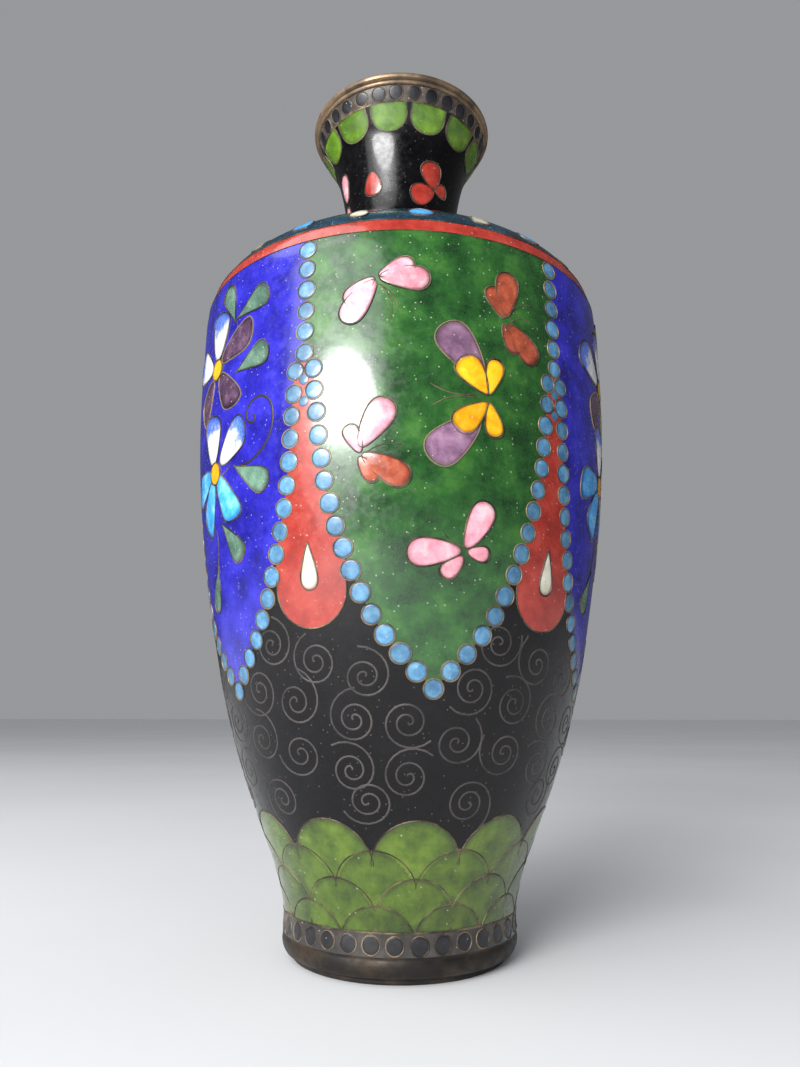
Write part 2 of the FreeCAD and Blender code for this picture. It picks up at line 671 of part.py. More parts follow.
def add_drops(panels, sockets, nodes):
    """A red drop on each border, between the two panels that part there."""
    cutters = [panel.cutter() for panel in panels]
    nodes["drop_wires"] = []
    drop_cutters = []
    for index, panel in enumerate(panels):
        red = Cells()
        white = Cells()
        red.inner.append(level_plug(drop_outline(DROP_RADIUS), panel.start))
        red.outer.append(level_plug(drop_outline(DROP_RADIUS + WIRE), panel.start))
        white.add(leaf(WHITE_DROP_LENGTH, WHITE_DROP_WIDTH, -90), panel.start, WHITE_DROP_TOP)
        zone = enamel(DROP_LOW - 1, DROP_TOP, panel.start - DROP_SWEEP / 2, DROP_SWEEP)
        beside = [cutters[index - 1], cutters[index]]
        zone = zone.cut(beside + meeting(sockets, zone))
        kinds = [("white_drops_enamel", white), ("red_drops_enamel", red)]
        nodes["drop_wires"] += fill(zone, kinds, nodes)[0]
        drop_cutters += red.outer
    return cutters + drop_cutters


def scale_rows():
    """Angles, height and radius of the rounds in each row of scales, highest row first."""
    rows = []
    for row in range(SCALE_ROWS):
        centre = SCALES_TOP - SCALE_ROW_STEP * row - SCALE_RISE
        height = max(centre, FOOT_TOP)
        radius = SCALE_FIT * math.pi * radius_at(height) / SCALES_PER_ROW
        first = SCALE_ANGLE + (180 / SCALES_PER_ROW if row % 2 else 0)
        rows.append((around(SCALES_PER_ROW, first), height, radius))
    return rows


def add_scales(nodes):
    """Each row of scales hides the lower part of the row above it."""
    band = (FOOT_BORDER_TOP + WIRE / 2, SCALES_TOP + 1)
    step = 360 / SCALES_PER_ROW
    nodes["scales_enamel"] = []
    nodes["scale_wires"] = []
    rows = scale_rows()
    rims = []
    for angles, height, radius in rows:
        rims.append([plug(disc(radius + WIRE), angle, height) for angle in angles])
    for row, (angles, height, radius) in enumerate(rows):
        in_front = [rim for lower in rims[row + 1:row + 3] for rim in lower]
        for angle, rim in zip(angles, rims[row]):
            zone = enamel(*band, angle - step, 2 * step).common(rim)
            near = meeting(in_front, zone)
            if near:
                zone = zone.cut(near)
            round_plug = plug(disc(radius), angle, height)
            nodes["scales_enamel"] += zone.common(round_plug).Solids
            nodes["scale_wires"] += zone.cut(round_plug).Solids
    return rims[0] + rims[1]


def curl_places(panels):
    """Angle, height and hand of every curl in the lower ground."""
    places = []
    for panel in panels:
        for angle, height, hand in GROUND_CURLS:
            places.append((panel.start + angle, height, hand))
    half_step = 180 / SCALES_PER_ROW
    for index, angle in enumerate(around(SCALES_PER_ROW, SCALE_ANGLE + half_step)):
        places.append((angle, LOW_CURL_HEIGHT, 1 if index % 2 else -1))
    return places


def add_lower_ground(panels, sockets, drop_and_panel_cutters, nodes):
    """The ground between two neighbouring tips, under each drop, with its curls of wire."""
    others = drop_and_panel_cutters + sockets + add_scales(nodes)
    curls = []
    nodes["curl_wires"] = []
    for angle, height, hand in curl_places(panels):
        face = curl(CURL_START, CURL_GROWTH, CURL_HALF_TURNS, hand)
        curls.append(plug(face, angle, height))
        wire = plug(face, angle, height, ENAMEL + CURL_SINK, -CURL_SINK)
        nodes["curl_wires"] += wire.cut(meeting(others, wire)).Solids
    nodes["lower_ground_enamel"] = []
    for before, panel in zip([panels[-1]] + panels, panels):
        sweep = (before.width + panel.width) / 2
        zone = enamel(SCALES_TOP - SCALE_RISE, GROUND_TOP, panel.middle - sweep, sweep)
        taken = meeting(others + curls, zone)
        nodes["lower_ground_enamel"] += zone.cut(taken).Solids


def add_border_wires(nodes):
    """Level wires that part one zone of enamel from the next."""
    heights = (FOOT_BORDER_TOP, PANELS_TOP, BAND_TOP, NECK_START, LIP_BORDER_LOW)
    nodes["border_wires"] = [enamel(height - WIRE / 2, height + WIRE / 2) for height in heights]


# ------------------------------------------------------------------ assembly
def build():
    nodes = {}
    panels = make_panels()
    add_metal_and_linings(nodes)
    add_lip_and_neck(nodes)
    add_shoulder(nodes)
    sockets = add_panels(panels, nodes)
    cutters = add_drops(panels, sockets, nodes)
    add_lower_ground(panels, sockets, cutters, nodes)
    dotted_border(
        FOOT_TOP, FOOT_BORDER_TOP - WIRE / 2, FOOT_DOTS, FOOT_DOT_RADIUS,
        ("foot_dots_enamel", "foot_dot_wires", "foot_border_enamel"), nodes)
    add_border_wires(nodes)
    return nodes


os.makedirs("parts", exist_ok=True)
for node, pieces in build().items():
    whole = [piece for piece in pieces if piece.Volume > SLIVER]
    shape = whole[0] if len(whole) == 1 else Part.makeCompound(whole)
    shape.exportStep(f"parts/{node}.step")
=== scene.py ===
import math

import bpy
import numpy as np
from mathutils import Matrix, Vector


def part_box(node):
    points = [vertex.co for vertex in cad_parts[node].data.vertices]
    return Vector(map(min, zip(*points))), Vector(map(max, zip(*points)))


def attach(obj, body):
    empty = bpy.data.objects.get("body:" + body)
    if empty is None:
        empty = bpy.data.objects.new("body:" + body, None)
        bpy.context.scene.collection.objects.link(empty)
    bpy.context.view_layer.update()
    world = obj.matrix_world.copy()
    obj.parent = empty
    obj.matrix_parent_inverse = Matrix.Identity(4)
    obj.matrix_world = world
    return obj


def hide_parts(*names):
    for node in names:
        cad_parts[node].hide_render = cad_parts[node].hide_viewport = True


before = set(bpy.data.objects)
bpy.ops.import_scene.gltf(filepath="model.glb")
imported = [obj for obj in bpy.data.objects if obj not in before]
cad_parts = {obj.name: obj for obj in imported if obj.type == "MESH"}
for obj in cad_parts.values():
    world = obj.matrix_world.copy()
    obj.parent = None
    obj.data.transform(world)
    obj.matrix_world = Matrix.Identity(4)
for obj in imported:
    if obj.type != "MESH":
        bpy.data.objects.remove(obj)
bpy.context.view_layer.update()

# The looks of a cloisonne vase: polished glass enamel in cells between thin brass wires.
# Each piece stands for the CAD node it is named after. The copper stays as the CAD made it.
# Lengths here are in millimetres, angles in degrees, as in the CAD part. MM turns them into metres
# where a mesh is made. Angles on the wall run anticlockwise as seen from above, from the middle of
# the front green panel, and "out" is the distance out of the polished surface.
MM = 0.001
rng = np.random.default_rng(17)


def low_of(node):
    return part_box(node)[0].z / MM


def high_of(node):
    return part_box(node)[1].z / MM


# ------------------------------------------------------------------ heights, from the frame
HEIGHT = high_of("lip_ring")
FOOT_TOP = low_of("foot_border_enamel")
FOOT_BORDER_TOP = high_of("foot_border_enamel")
SCALES_LOW = low_of("scales_enamel")
PANELS_TOP = high_of("green_panel_1")
BAND_LOW = low_of("shoulder_band_enamel")
BAND_TOP = high_of("shoulder_band_enamel")
SHOULDER_LOW = low_of("shoulder_ground_enamel")
SHOULDER_TOP = high_of("shoulder_ground_enamel")
NECK_LOW = low_of("neck_ground_enamel")
NECK_TOP = high_of("neck_ground_enamel")
LIP_BORDER_LOW = low_of("lip_border_enamel")
LIP_LOW = high_of("lip_border_enamel")

# Outer radius of the polished surface at each height.
PROFILE = [
    (4.0, 18.8), (7.1, 18.7), (11.5, 19.6), (18.0, 22.1), (28.0, 26.1), (40.0, 29.7), (53.0, 32.4),
    (67.0, 34.6), (80.0, 35.85), (92.0, 36.2), (102.0, 36.1), (107.5, 35.6), (111.3, 33.6),
    (115.5, 28.6), (119.5, 21.3), (122.6, 14.6), (125.5, 11.5), (129.5, 10.5), (134.0, 11.0),
    (138.0, 11.7), (141.5, 12.55), (144.5, 13.65), (147.2, 15.3), (149.9, 16.6),
]
PANEL_TIP = 40.5
PANEL_SPLIT = 88.3
ENAMEL = 0.9
WALL = 1.7                  # enamel and copper together
LINING = 0.3

# ------------------------------------------------------------------ relief of the polished surface
SHEET_OUT = 0.03            # panels and drops, over the ground they are set in
CELL_OUT = 0.07             # cells of the pictures
CELL_STEP = 0.012           # a cell that lies over another one of its kind
CELL_DOME = 0.07            # rise from a cell's edge to its middle
BEAD_DOME = 0.06
WIRE = 0.22                 # width of a cell wire
WIRE_OUT = 0.12             # its crest
WIRE_SINK = 0.25
CELL_SINK = 0.4


# ------------------------------------------------------------------ the wall
def spline(knots, values, at):
    """A natural cubic spline through (knots, values), read at some places."""
    gaps = np.diff(knots)
    slopes = np.diff(values) / gaps
    matrix = np.eye(len(knots))
    right = np.zeros(len(knots))
    for i in range(1, len(knots) - 1):
        matrix[i, i - 1:i + 2] = gaps[i - 1], 2 * (gaps[i - 1] + gaps[i]), gaps[i]
        right[i] = 6 * (slopes[i] - slopes[i - 1])
    bends = np.linalg.solve(matrix, right)
    k = np.clip(np.searchsorted(knots, at) - 1, 0, len(gaps) - 1)
    t = at - knots[k]
    linear = slopes[k] - gaps[k] * (2 * bends[k] + bends[k + 1]) / 6
    cubic = (bends[k + 1] - bends[k]) / (6 * gaps[k])
    return values[k] + t * linear + t ** 2 * bends[k] / 2 + t ** 3 * cubic


KNOTS = np.array(PROFILE)
HEIGHTS = np.linspace(KNOTS[0, 0], KNOTS[-1, 0], 4000)
RADII = spline(KNOTS[:, 0], KNOTS[:, 1], HEIGHTS)
ARCS = np.concatenate([[0], np.cumsum(np.hypot(np.diff(RADII), np.diff(HEIGHTS)))])
SLOPE_R = np.gradient(RADII, ARCS)
SLOPE_Z = np.gradient(HEIGHTS, ARCS)


def arc_at(height):
    """Distance up the wall's section line at a height."""
    return np.interp(height, HEIGHTS, ARCS)


def radius_at(height):
    return np.interp(height, HEIGHTS, RADII)


def wall_point(arc, out):
    """Radius and height at a distance up the wall and one out of the polished surface."""
    radius = np.interp(arc, ARCS, RADII) + out * np.interp(arc, ARCS, SLOPE_Z)
    height = np.interp(arc, ARCS, HEIGHTS) - out * np.interp(arc, ARCS, SLOPE_R)
    return radius, height


def on_wall(turn, arc, out):
    """Points in metres, for arrays of turns in radians, distances up the wall and out of it."""
    radius, height = wall_point(arc, out)
    return np.stack([radius * np.sin(turn), -radius * np.cos(turn), height], -1) * MM


def laid(points, angle, height, out):
    """Flat points (to the right, up the wall) laid on the wall round an anchor."""
    points = np.asarray(points, float)
    arc = arc_at(height) + points[:, 1]
    turn = math.radians(angle) + points[:, 0] / np.interp(arc, ARCS, RADII)
    return on_wall(turn, arc, out)


# ------------------------------------------------------------------ meshes
class Pile:
    """Vertices and faces of many solids that become one piece."""

    def __init__(self):
        self.points = []
        self.faces = []
        self.along = []
        self.inner = []
        self.shade = []
        self.count = 0

    def add(self, points, faces, along=0.5, inner=1.0, shade=0.5):
        """along runs from a cell's narrow end to its far end, inner from its edge to its middle."""
        n = len(points)
        self.points.append(np.asarray(points, float))
        self.faces += [[int(i) + self.count for i in face] for face in faces]
        for values, value in ((self.along, along), (self.inner, inner), (self.shade, shade)):
            values.append(np.broadcast_to(np.asarray(value, float), (n,)))
        self.count += n

    def piece(self, node, slot, material):
        """Make the piece that replaces a CAD node."""
        mesh = bpy.data.meshes.new(node + "_mesh")
        mesh.from_pydata(np.concatenate(self.points).tolist(), [], self.faces)
        for name in ("along", "inner", "shade"):
            values = np.concatenate(getattr(self, name)).astype(np.float32)
            mesh.attributes.new(name, "FLOAT", "POINT").data.foreach_set("value", values)
        mesh.polygons.foreach_set("use_smooth", [True] * len(mesh.polygons))
        mesh.set_sharp_from_angle(angle=math.radians(50))
        mesh.validate()
        mesh.materials.append(material)
        piece = bpy.data.objects.new(node + "_look", mesh)
        bpy.context.scene.collection.objects.link(piece)
        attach(piece, "root")
        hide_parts(node)
        return piece


def grid_faces(rows, cols, first=0, closed=False, ring=False):
    """Quads of a grid stored row by row. Each row closes up if closed, each column if ring."""
    faces = []
    for r in range(rows if ring else rows - 1):
        a = first + r * cols
        b = first + (r + 1) % rows * cols
        for c in range(cols if closed else cols - 1):
            d = (c + 1) % cols
            faces.append((a + c, a + d, b + d, b + c))
    return faces


def slab(pile, turn, arc, top, depth, closed=False, shade=0.5, along=0.5):
    """A closed layer of the wall over a grid of turns and arcs, from out=top down to out=-depth."""
    rows, cols = turn.shape
    outer = on_wall(turn.ravel(), arc.ravel(), top)
    under = on_wall(turn.ravel(), arc.ravel(), -depth)
    n = rows * cols
    faces = grid_faces(rows, cols, 0, closed)
    faces += [tuple(reversed(face)) for face in grid_faces(rows, cols, n, closed)]
    for c in range(cols if closed else cols - 1):
        d = (c + 1) % cols
        faces.append((c, c + n, d + n, d))
        last = (rows - 1) * cols
        faces.append((last + c, last + d, last + d + n, last + c + n))
    if not closed:
        for r in range(rows - 1):
            a = r * cols
            b = a + cols
            faces.append((a, b, b + n, a + n))
            a += cols - 1
            b += cols - 1
            faces.append((b, a, a + n, b + n))
    pile.add(np.concatenate([outer, under]), faces, shade=shade, along=along)


def zone(pile, low, high, top=0.0, depth=ENAMEL, step=1.0, segments=240):
    """A layer all the way round between two heights."""
    rows = max(3, round((arc_at(high) - arc_at(low)) / step) + 1)
    arcs = np.linspace(arc_at(low), arc_at(high), rows)
    turns = np.linspace(0, 2 * math.pi, segments, endpoint=False)
    turn, arc = np.meshgrid(turns, arcs)
    slab(pile, turn, arc, top, depth, closed=True)


def cell(pile, outline, angle, height, out, dome=CELL_DOME, shade=0.5, length=None):
    """A closed cell of enamel with a soft edge, its rings of points shrinking towards its middle."""
    outline = np.asarray(outline, float)
    n = len(outline)
    middle = outline.mean(0)
    size = np.linalg.norm(outline - middle, axis=1).mean()
    shares = np.concatenate([[0, 0.05, 0.13], np.linspace(0.26, 0.92, max(3, round(size / 0.8)))])
    rings = [outline]
    outs = [np.full(n, -CELL_SINK)]
    inner = [np.zeros(n)]
    for share in shares:
        rings.append(outline + (middle - outline) * share)
        outs.append(np.full(n, out + dome * (1 - (1 - share) ** 3) - 0.02 * (share == 0)))
        inner.append(np.full(n, share))
    flat = np.concatenate(rings + [middle[None], middle[None]])
    lift = np.concatenate(outs + [[out + dome], [-CELL_SINK]])
    inner = np.concatenate(inner + [[1.0], [1.0]])
    faces = grid_faces(len(rings), n, 0, closed=True)
    top = len(flat) - 2
    bottom = len(flat) - 1
    last = (len(rings) - 1) * n
    for c in range(n):
        d = (c + 1) % n
        faces.append((last + c, last + d, top))
        faces.append((d, c, bottom))
    along = 0.5
    if length is not None:
        direction, reach = length
        along = flat @ np.array([math.cos(direction), math.sin(direction)]) / reach
    pile.add(laid(flat, angle, height, lift), faces, along, inner, shade)


def sweep(pile, path, angle, height, closed, out=WIRE_OUT, width=WIRE, shade=0.5):
    """A wire on edge along a flat path, its crest rounded and a little proud of the enamel."""
    path = np.asarray(path, float)
    if closed:
        along = np.roll(path, -1, 0) - np.roll(path, 1, 0)
    else:
        along = np.gradient(path, axis=0)
    along /= np.linalg.norm(along, axis=1)[:, None] + 1e-9
    side = np.stack([along[:, 1], -along[:, 0]], -1)
    section = [(-0.5, -WIRE_SINK), (-0.5, out * 0.45), (-0.27, out), (0.27, out), (0.5, out * 0.45),
               (0.5, -WIRE_SINK)]
    n = len(path)
    m = len(section)
    flat = np.concatenate([path + side * share * width for share, lift in section])
    lift = np.repeat([lift for share, lift in section], n)
    points = laid(flat, angle, height, lift).reshape(m, n, 3).transpose(1, 0, 2).reshape(-1, 3)
    faces = grid_faces(n, m, closed=True, ring=closed)
    if not closed:
        faces.append(tuple(reversed(range(m))))
        faces.append(tuple(range((n - 1) * m, n * m)))
    pile.add(points, faces, shade=shade)


def lathe(pile, section, segments=240, wobble=0.0):
    """A closed section line of (radius, height) turned round the axis, with a hand-made wobble."""
    section = np.asarray(section, float)
    turns = np.linspace(0, 2 * math.pi, segments, endpoint=False)
    phases = rng.uniform(0, 6.28, 4)
    waves = sum(np.sin(k * turns + phase) / k for k, phase in zip((2, 3, 5, 7), phases))
    rows = []
    for radius, height in section:
        reach = radius + wobble * waves
        level = np.full(segments, height)
        rows.append(np.stack([reach * np.sin(turns), -reach * np.cos(turns), level], -1))
    faces = grid_faces(len(section), segments, closed=True, ring=True)
    pile.add(np.concatenate(rows) * MM, faces)


def arc_line(centre, radius, start, finish, count):
    """Points of a round in a section line, from one angle to another."""
    angles = np.radians(np.linspace(start, finish, count))
    return [(centre[0] + radius * math.cos(a), centre[1] + radius * math.sin(a)) for a in angles]


# ------------------------------------------------------------------ outlines
def polar(radius, turns):
    """Points at some angles, in radians, round the origin."""
    return np.stack([radius * np.cos(turns), radius * np.sin(turns)], -1)


def turned(x, y, direction):
    """Points turned about the origin by an angle in degrees."""
    a = math.radians(direction)
    return np.stack([x * math.cos(a) - y * math.sin(a), x * math.sin(a) + y * math.cos(a)], -1)


def circle(radius, count=24):
    return polar(radius, np.linspace(0, 2 * math.pi, count, endpoint=False))


def petal(length, width, direction, bend=0.0, rise=0.75, blunt=5.0, lean=0.0, count=34):
    """A drop-shaped outline from its narrow end at the origin. It can bend and lean to a side."""
    turns = np.linspace(0, 2 * math.pi, count, endpoint=False)
    t = 0.5 - 0.5 * np.cos(turns)
    half = t ** rise * np.sqrt(np.maximum(0, 1 - t ** blunt))
    peak = max(half)
    across = -np.sign(np.sin(turns)) * half / peak * width / 2
    x = t * length + lean * across * t
    y = across + bend * length * np.sin(math.pi * t * 0.75) * t
    return turned(x, y, direction)


def spiral(inner, pitch, turns, hand, direction, tail=1.0):
    """A coil of wire with a small hook at its middle and a tail that opens out."""
    count = round(turns * 22)
    t = np.linspace(0, turns, count)
    radius = inner + pitch * t + tail * np.clip(t - turns + 0.45, 0, None) ** 2 * 4
    angle = 2 * math.pi * t * hand + math.radians(direction)
    path = polar(radius, angle)
    hook = path[0] * 0.45 + np.array([path[0][1], -path[0][0]]) * hand * 0.45
    return np.concatenate([[hook * 0.2], [hook * 0.75], path])


def through(points, count):
    """A smooth line through some points."""
    x, y = np.array(points).T
    knots = np.concatenate([[0], np.cumsum(np.hypot(np.diff(x), np.diff(y)))])
    places = np.linspace(0, knots[-1], count)
    return np.stack([spline(knots, x, places), spline(knots, y, places)], -1)


def bow(length, rise, direction, count=12):
    """A bare wire, bowed to one side."""
    t = np.linspace(0, 1, count)
    return turned(t * length, rise * 4 * t * (1 - t), direction)


def around(count, first=0.0):
    """Evenly spaced angles all the way round."""
    return [first + 360 * i / count for i in range(count)]


# ------------------------------------------------------------------ materials
def tint(red, green, blue):
    """A linear colour from screen values of 0 to 255."""
    return tuple((c / 255 / 12.92) if c < 11 else ((c / 255 + 0.055) / 1.055) ** 2.4
                 for c in (red, green, blue)) + (1.0,)


class Shader:
    """A material's nodes, added one after the other."""

    def __init__(self, name):
        self.material = bpy.data.materials.new(name)
        self.material.use_nodes = True
        self.tree = self.material.node_tree
        self.body = self.tree.nodes["Principled BSDF"]
        self.place = self.add("ShaderNodeTexCoord").outputs["Object"]

    def add(self, kind, **inputs):
        node = self.tree.nodes.new(kind)
        self.set(node, **inputs)
        return node

    def put(self, socket, value):
        """Link a value that comes from a node, or set a plain one."""
        if isinstance(value, bpy.types.NodeSocket):
            self.tree.links.new(value, socket)
        else:
            socket.default_value = value

    def set(self, node, **inputs):
        for name, value in inputs.items():
            self.put(node.inputs[name.replace("_", " ")], value)

    def noise(self, scale, detail=3.0, roughness=0.55, stretch=None):
        place = self.place
        if stretch is not None:
            mapping = self.add("ShaderNodeMapping", Vector=place, Scale=stretch)
            place = mapping.outputs["Vector"]
        node = self.add("ShaderNodeTexNoise", Vector=place, Scale=scale, Detail=detail,
                        Roughness=roughness)
        return node.outputs["Fac"]

    def ramp(self, value, stops):
        node = self.tree.nodes.new("ShaderNodeValToRGB")
        self.tree.links.new(value, node.inputs["Fac"])
        elements = node.color_ramp.elements
        while len(elements) < len(stops):
            elements.new(0.5)
        for element, (position, colour) in zip(elements, stops):
            element.position = position
            element.color = colour
        return node.outputs["Color"]

    def span(self, value, low, high, to_low=0.0, to_high=1.0):
        node = self.tree.nodes.new("ShaderNodeMapRange")
        node.interpolation_type = "SMOOTHSTEP"
        self.set(node, Value=value, From_Min=low, From_Max=high, To_Min=to_low, To_Max=to_high)
        return node.outputs["Result"]

    def math(self, operation, first, second):
        node = self.tree.nodes.new("ShaderNodeMath")
        node.operation = operation
        for socket, value in zip(node.inputs, (first, second)):
            self.put(socket, value)
        return node.outputs["Value"]

    def mix(self, share, first, second, mode="MIX"):
        node = self.tree.nodes.new("ShaderNodeMix")
        node.data_type = "RGBA"
        node.blend_type = mode
        for place, value in ((0, share), (6, first), (7, second)):
            self.put(node.inputs[place], value)
        return node.outputs[2]

    def attribute(self, name):
        node = self.tree.nodes.new("ShaderNodeAttribute")
        node.attribute_name = name
        return node.outputs["Fac"]

    def spots(self, scale, size, share):
        """Small round spots of enamel fault, in some of the cells of a cellular pattern."""
        node = self.add("ShaderNodeTexVoronoi", Vector=self.place, Scale=scale)
        near = self.span(node.outputs["Distance"], size * 0.6, size, 1.0, 0.0)
        split = self.add("ShaderNodeSeparateColor", Color=node.outputs["Color"])
        chosen = self.span(split.outputs["Red"], 1 - share, 1 - share + 0.02)
        return self.math("MULTIPLY", near, chosen)

    def bump(self, height, distance, strength=1.0, normal=None):
        node = self.add("ShaderNodeBump", Height=height, Distance=distance, Strength=strength)
        if normal is not None:
            self.tree.links.new(normal, node.inputs["Normal"])
        return node.outputs["Normal"]


def enamel(name, dark, middle, light, far=None, far_from=0.55, mottle=260.0, fleck=0.35,
           fleck_colour=(225, 225, 205), rim=0.55, gloss=0.16, coat=0.5, shine=0.5):
    """Polished glass enamel: mottled colour, fine flecks and pits, and a darker line at its wires.

    The three colours are its dark, middle and light mottles. far is a fourth one, towards the far end.
    """
    s = Shader(name)
    cloud = s.noise(mottle, 6.0, 0.62)
    colour = s.ramp(cloud, [(0.34, tint(*dark)), (0.5, tint(*middle)), (0.68, tint(*light))])
    if far is not None:
        wander = s.span(s.noise(600.0, 3.0), 0.25, 0.75, -0.12, 0.12)
        reach = s.math("ADD", s.attribute("along"), wander)
        colour = s.mix(s.span(reach, far_from, far_from + 0.3), colour, tint(*far))
    grain = s.noise(3200.0, 2.0)
    colour = s.mix(s.span(grain, 0.3, 0.72, 0.0, 0.30), colour, s.mix(0.5, colour, tint(*light)))
    tone = s.span(s.attribute("shade"), 0.0, 1.0, 0.45, 1.2)
    brightness = s.add("ShaderNodeHueSaturation", Color=colour, Value=tone)
    colour = brightness.outputs["Color"]
    edge = s.span(s.attribute("inner"), 0.0, 0.22, rim, 0.0)
    colour = s.mix(edge, colour, s.mix(1.0, colour, tint(70, 60, 55), "MULTIPLY"))
    flecks = s.spots(1250.0, 0.16, fleck)
    colour = s.mix(s.math("MULTIPLY", flecks, 0.42), colour, tint(*fleck_colour))
    pits = s.spots(800.0, 0.10, 0.4)
    colour = s.mix(s.math("MULTIPLY", pits, 0.55), colour, tint(20, 18, 16))
    s.set(s.body, Base_Color=colour, IOR=1.5)
    s.body.inputs["Coat Weight"].default_value = coat
    s.body.inputs["Coat Roughness"].default_value = 0.1
    s.body.inputs["Specular IOR Level"].default_value = shine
    s.set(s.body, Roughness=s.span(s.noise(900.0, 4.0), 0.3, 0.75, gloss, gloss + 0.2))
    peel = s.bump(s.noise(330.0, 2.0), 0.00006, 0.55)
    fine = s.bump(s.noise(2600.0, 2.0), 0.00001, 0.5, peel)
    s.set(s.body, Normal=s.bump(s.math("ADD", pits, flecks), 0.00003, -0.7, fine))
    return s.material


def metal(name, bright, dull, patina=0.5, rough=0.32, metallic=0.85, grain=0.00003):
    """Old brass or copper: bright where it is rubbed, dull brown where it has tarnished."""
    s = Shader(name)
    worn = s.span(s.attribute("shade"), 0.0, 1.0, 0.3, -0.3)
    stain = s.math("ADD", s.noise(190.0, 7.0, 0.68), worn)
    tarnish = s.span(stain, 0.62 - patina * 0.45, 0.82 - patina * 0.3)
    colour = s.mix(tarnish, tint(*bright), tint(*dull))
    speckle = s.span(s.noise(1500.0, 3.0), 0.55, 0.75, 0.0, 0.5)
    colour = s.mix(speckle, colour, tint(*dull))
    s.set(s.body, Base_Color=colour)
    s.set(s.body, Metallic=s.span(tarnish, 0.0, 1.0, metallic, metallic * 0.6))
    s.set(s.body, Roughness=s.span(s.noise(420.0, 5.0), 0.3, 0.75, rough, rough + 0.25))
    drawn = s.noise(160.0, 5.0, 0.7, (1.0, 1.0, 14.0))
    first = s.bump(drawn, grain, 0.6)
    s.set(s.body, Normal=s.bump(s.noise(1400.0, 3.0), 0.00002, 0.5, first))
    return s.material


GREEN = enamel("green_glass", (20, 54, 26), (36, 84, 36), (62, 114, 46), mottle=230.0, fleck=0.5,
               rim=0.0)
BLUE = enamel("blue_glass", (22, 18, 118), (38, 34, 168), (58, 54, 200), mottle=200.0, fleck=0.6,
              fleck_colour=(190, 195, 240), rim=0.0)
RED = enamel("coral_glass", (142, 38, 28), (168, 50, 40), (184, 70, 56), mottle=320.0, fleck=0.4,
             rim=0.35)
BLACK = enamel("black_glass", (2, 2, 3), (6, 5, 7), (16, 14, 17), mottle=180.0, fleck=0.5,
               fleck_colour=(110, 110, 108), rim=0.0, coat=0.25, shine=0.25)
TEAL = enamel("shoulder_glass", (8, 26, 40), (14, 44, 62), (30, 72, 92), mottle=240.0, rim=0.0)
BORDER = enamel("border_glass", (58, 52, 48), (84, 75, 68), (112, 101, 92), mottle=500.0, rim=0.0,
                coat=0.2)
# The lip border's enamel at about half its brightness: painted shade at the foot.
SHADED_FOOT_BORDER = enamel("shaded_foot_border_glass", (30, 27, 25), (46, 42, 39), (68, 62, 57), mottle=500.0, rim=0.0,
                     fleck=0.3, gloss=0.3)
DOT = enamel("dot_glass", (10, 10, 13), (22, 22, 27), (42, 42, 50), mottle=600.0, fleck=0.2,
             gloss=0.3, coat=0.15)
LIME = enamel("lime_glass", (62, 98, 14), (90, 130, 26), (120, 158, 50), mottle=300.0, fleck=0.2)
SCALE = enamel("scale_glass", (46, 66, 10), (70, 94, 16), (94, 118, 30), mottle=300.0, fleck=0.2)
BEAD = enamel("bead_glass", (56, 104, 144), (78, 130, 168), (110, 160, 190), mottle=700.0, fleck=0.3,
              rim=0.5, gloss=0.26, coat=0.2)
PINK = enamel("pink_glass", (214, 124, 142), (242, 160, 176), (252, 204, 208), mottle=420.0,
              fleck=0.25)
RUSSET = enamel("russet_glass", (122, 56, 38), (162, 72, 48), (186, 104, 76), mottle=420.0)
YELLOW = enamel("yellow_glass", (232, 148, 10), (255, 180, 18), (255, 204, 48), mottle=420.0,
                fleck=0.12)
MAUVE = enamel("mauve_glass", (106, 76, 102), (142, 104, 134), (166, 132, 156), mottle=420.0,
               fleck=0.6)
WHITE = enamel("white_glass", (196, 190, 166), (224, 220, 200), (240, 238, 224), mottle=420.0,
               fleck=0.1)
PETAL = enamel("petal_glass", (236, 240, 246), (250, 252, 254), (255, 255, 255), (58, 112, 236),
               0.52, mottle=420.0, fleck=0.1)
SKY = enamel("sky_glass", (40, 148, 236), (70, 176, 250), (140, 212, 255), (34, 130, 228), 0.8,
             mottle=420.0, fleck=0.1)
VIOLET = enamel("violet_glass", (52, 34, 54), (78, 54, 78), (112, 86, 110), mottle=420.0)
LEAF = enamel("leaf_glass", (70, 104, 88), (92, 126, 108), (122, 154, 134), mottle=420.0)
INSIDE = enamel("lining_glass", (40, 62, 66), (66, 92, 94), (98, 122, 120), mottle=200.0, fleck=0.6,
                rim=0.0, gloss=0.3)
LIP_BRASS = metal("lip_brass", (160, 136, 110), (88, 74, 60), patina=0.55, rough=0.44)
# The lip brass at about half its brightness, painted shade at the foot, with a larger share of it
# tarnished.
SHADED_FOOT_BRASS = metal("shaded_foot_brass", (80, 68, 56), (30, 26, 23), patina=0.8, rough=0.42, metallic=0.7)
CELL_WIRE = metal("cell_wire", (140, 122, 96), (44, 36, 30), patina=0.75, rough=0.42, metallic=0.5)
CURL_WIRE = metal("curl_wire", (80, 74, 72), (46, 42, 41), patina=0.5, rough=0.5, metallic=0.3)
COPPER = metal("copper", (176, 96, 62), (96, 52, 34), patina=0.5, rough=0.4)


# ------------------------------------------------------------------ panels and their beads
PANEL_WIDTHS = [63.0, 58.25, 58.25, 58.25, 58.25, 64.0]
PANEL_TAPER = [(106.9, 1.0), (PANEL_SPLIT, 1.0), (85.7, 0.925), (75.6, 0.885), (66.0, 0.81),
               (56.8, 0.66), (50.4, 0.50), (45.1, 0.27), (PANEL_TIP, 0.0)]
BEAD_RADIUS = 1.34
BEAD_PITCH = 3.38
BEAD_COLUMN_TOP = 105.2
BEADS_PER_COLUMN = 6
FILLERS = [(84.2, 0.8), (80.9, 0.8)]    # small beads under each column: height, radius
JITTER = 0.06               # a hand-set cell's error in place


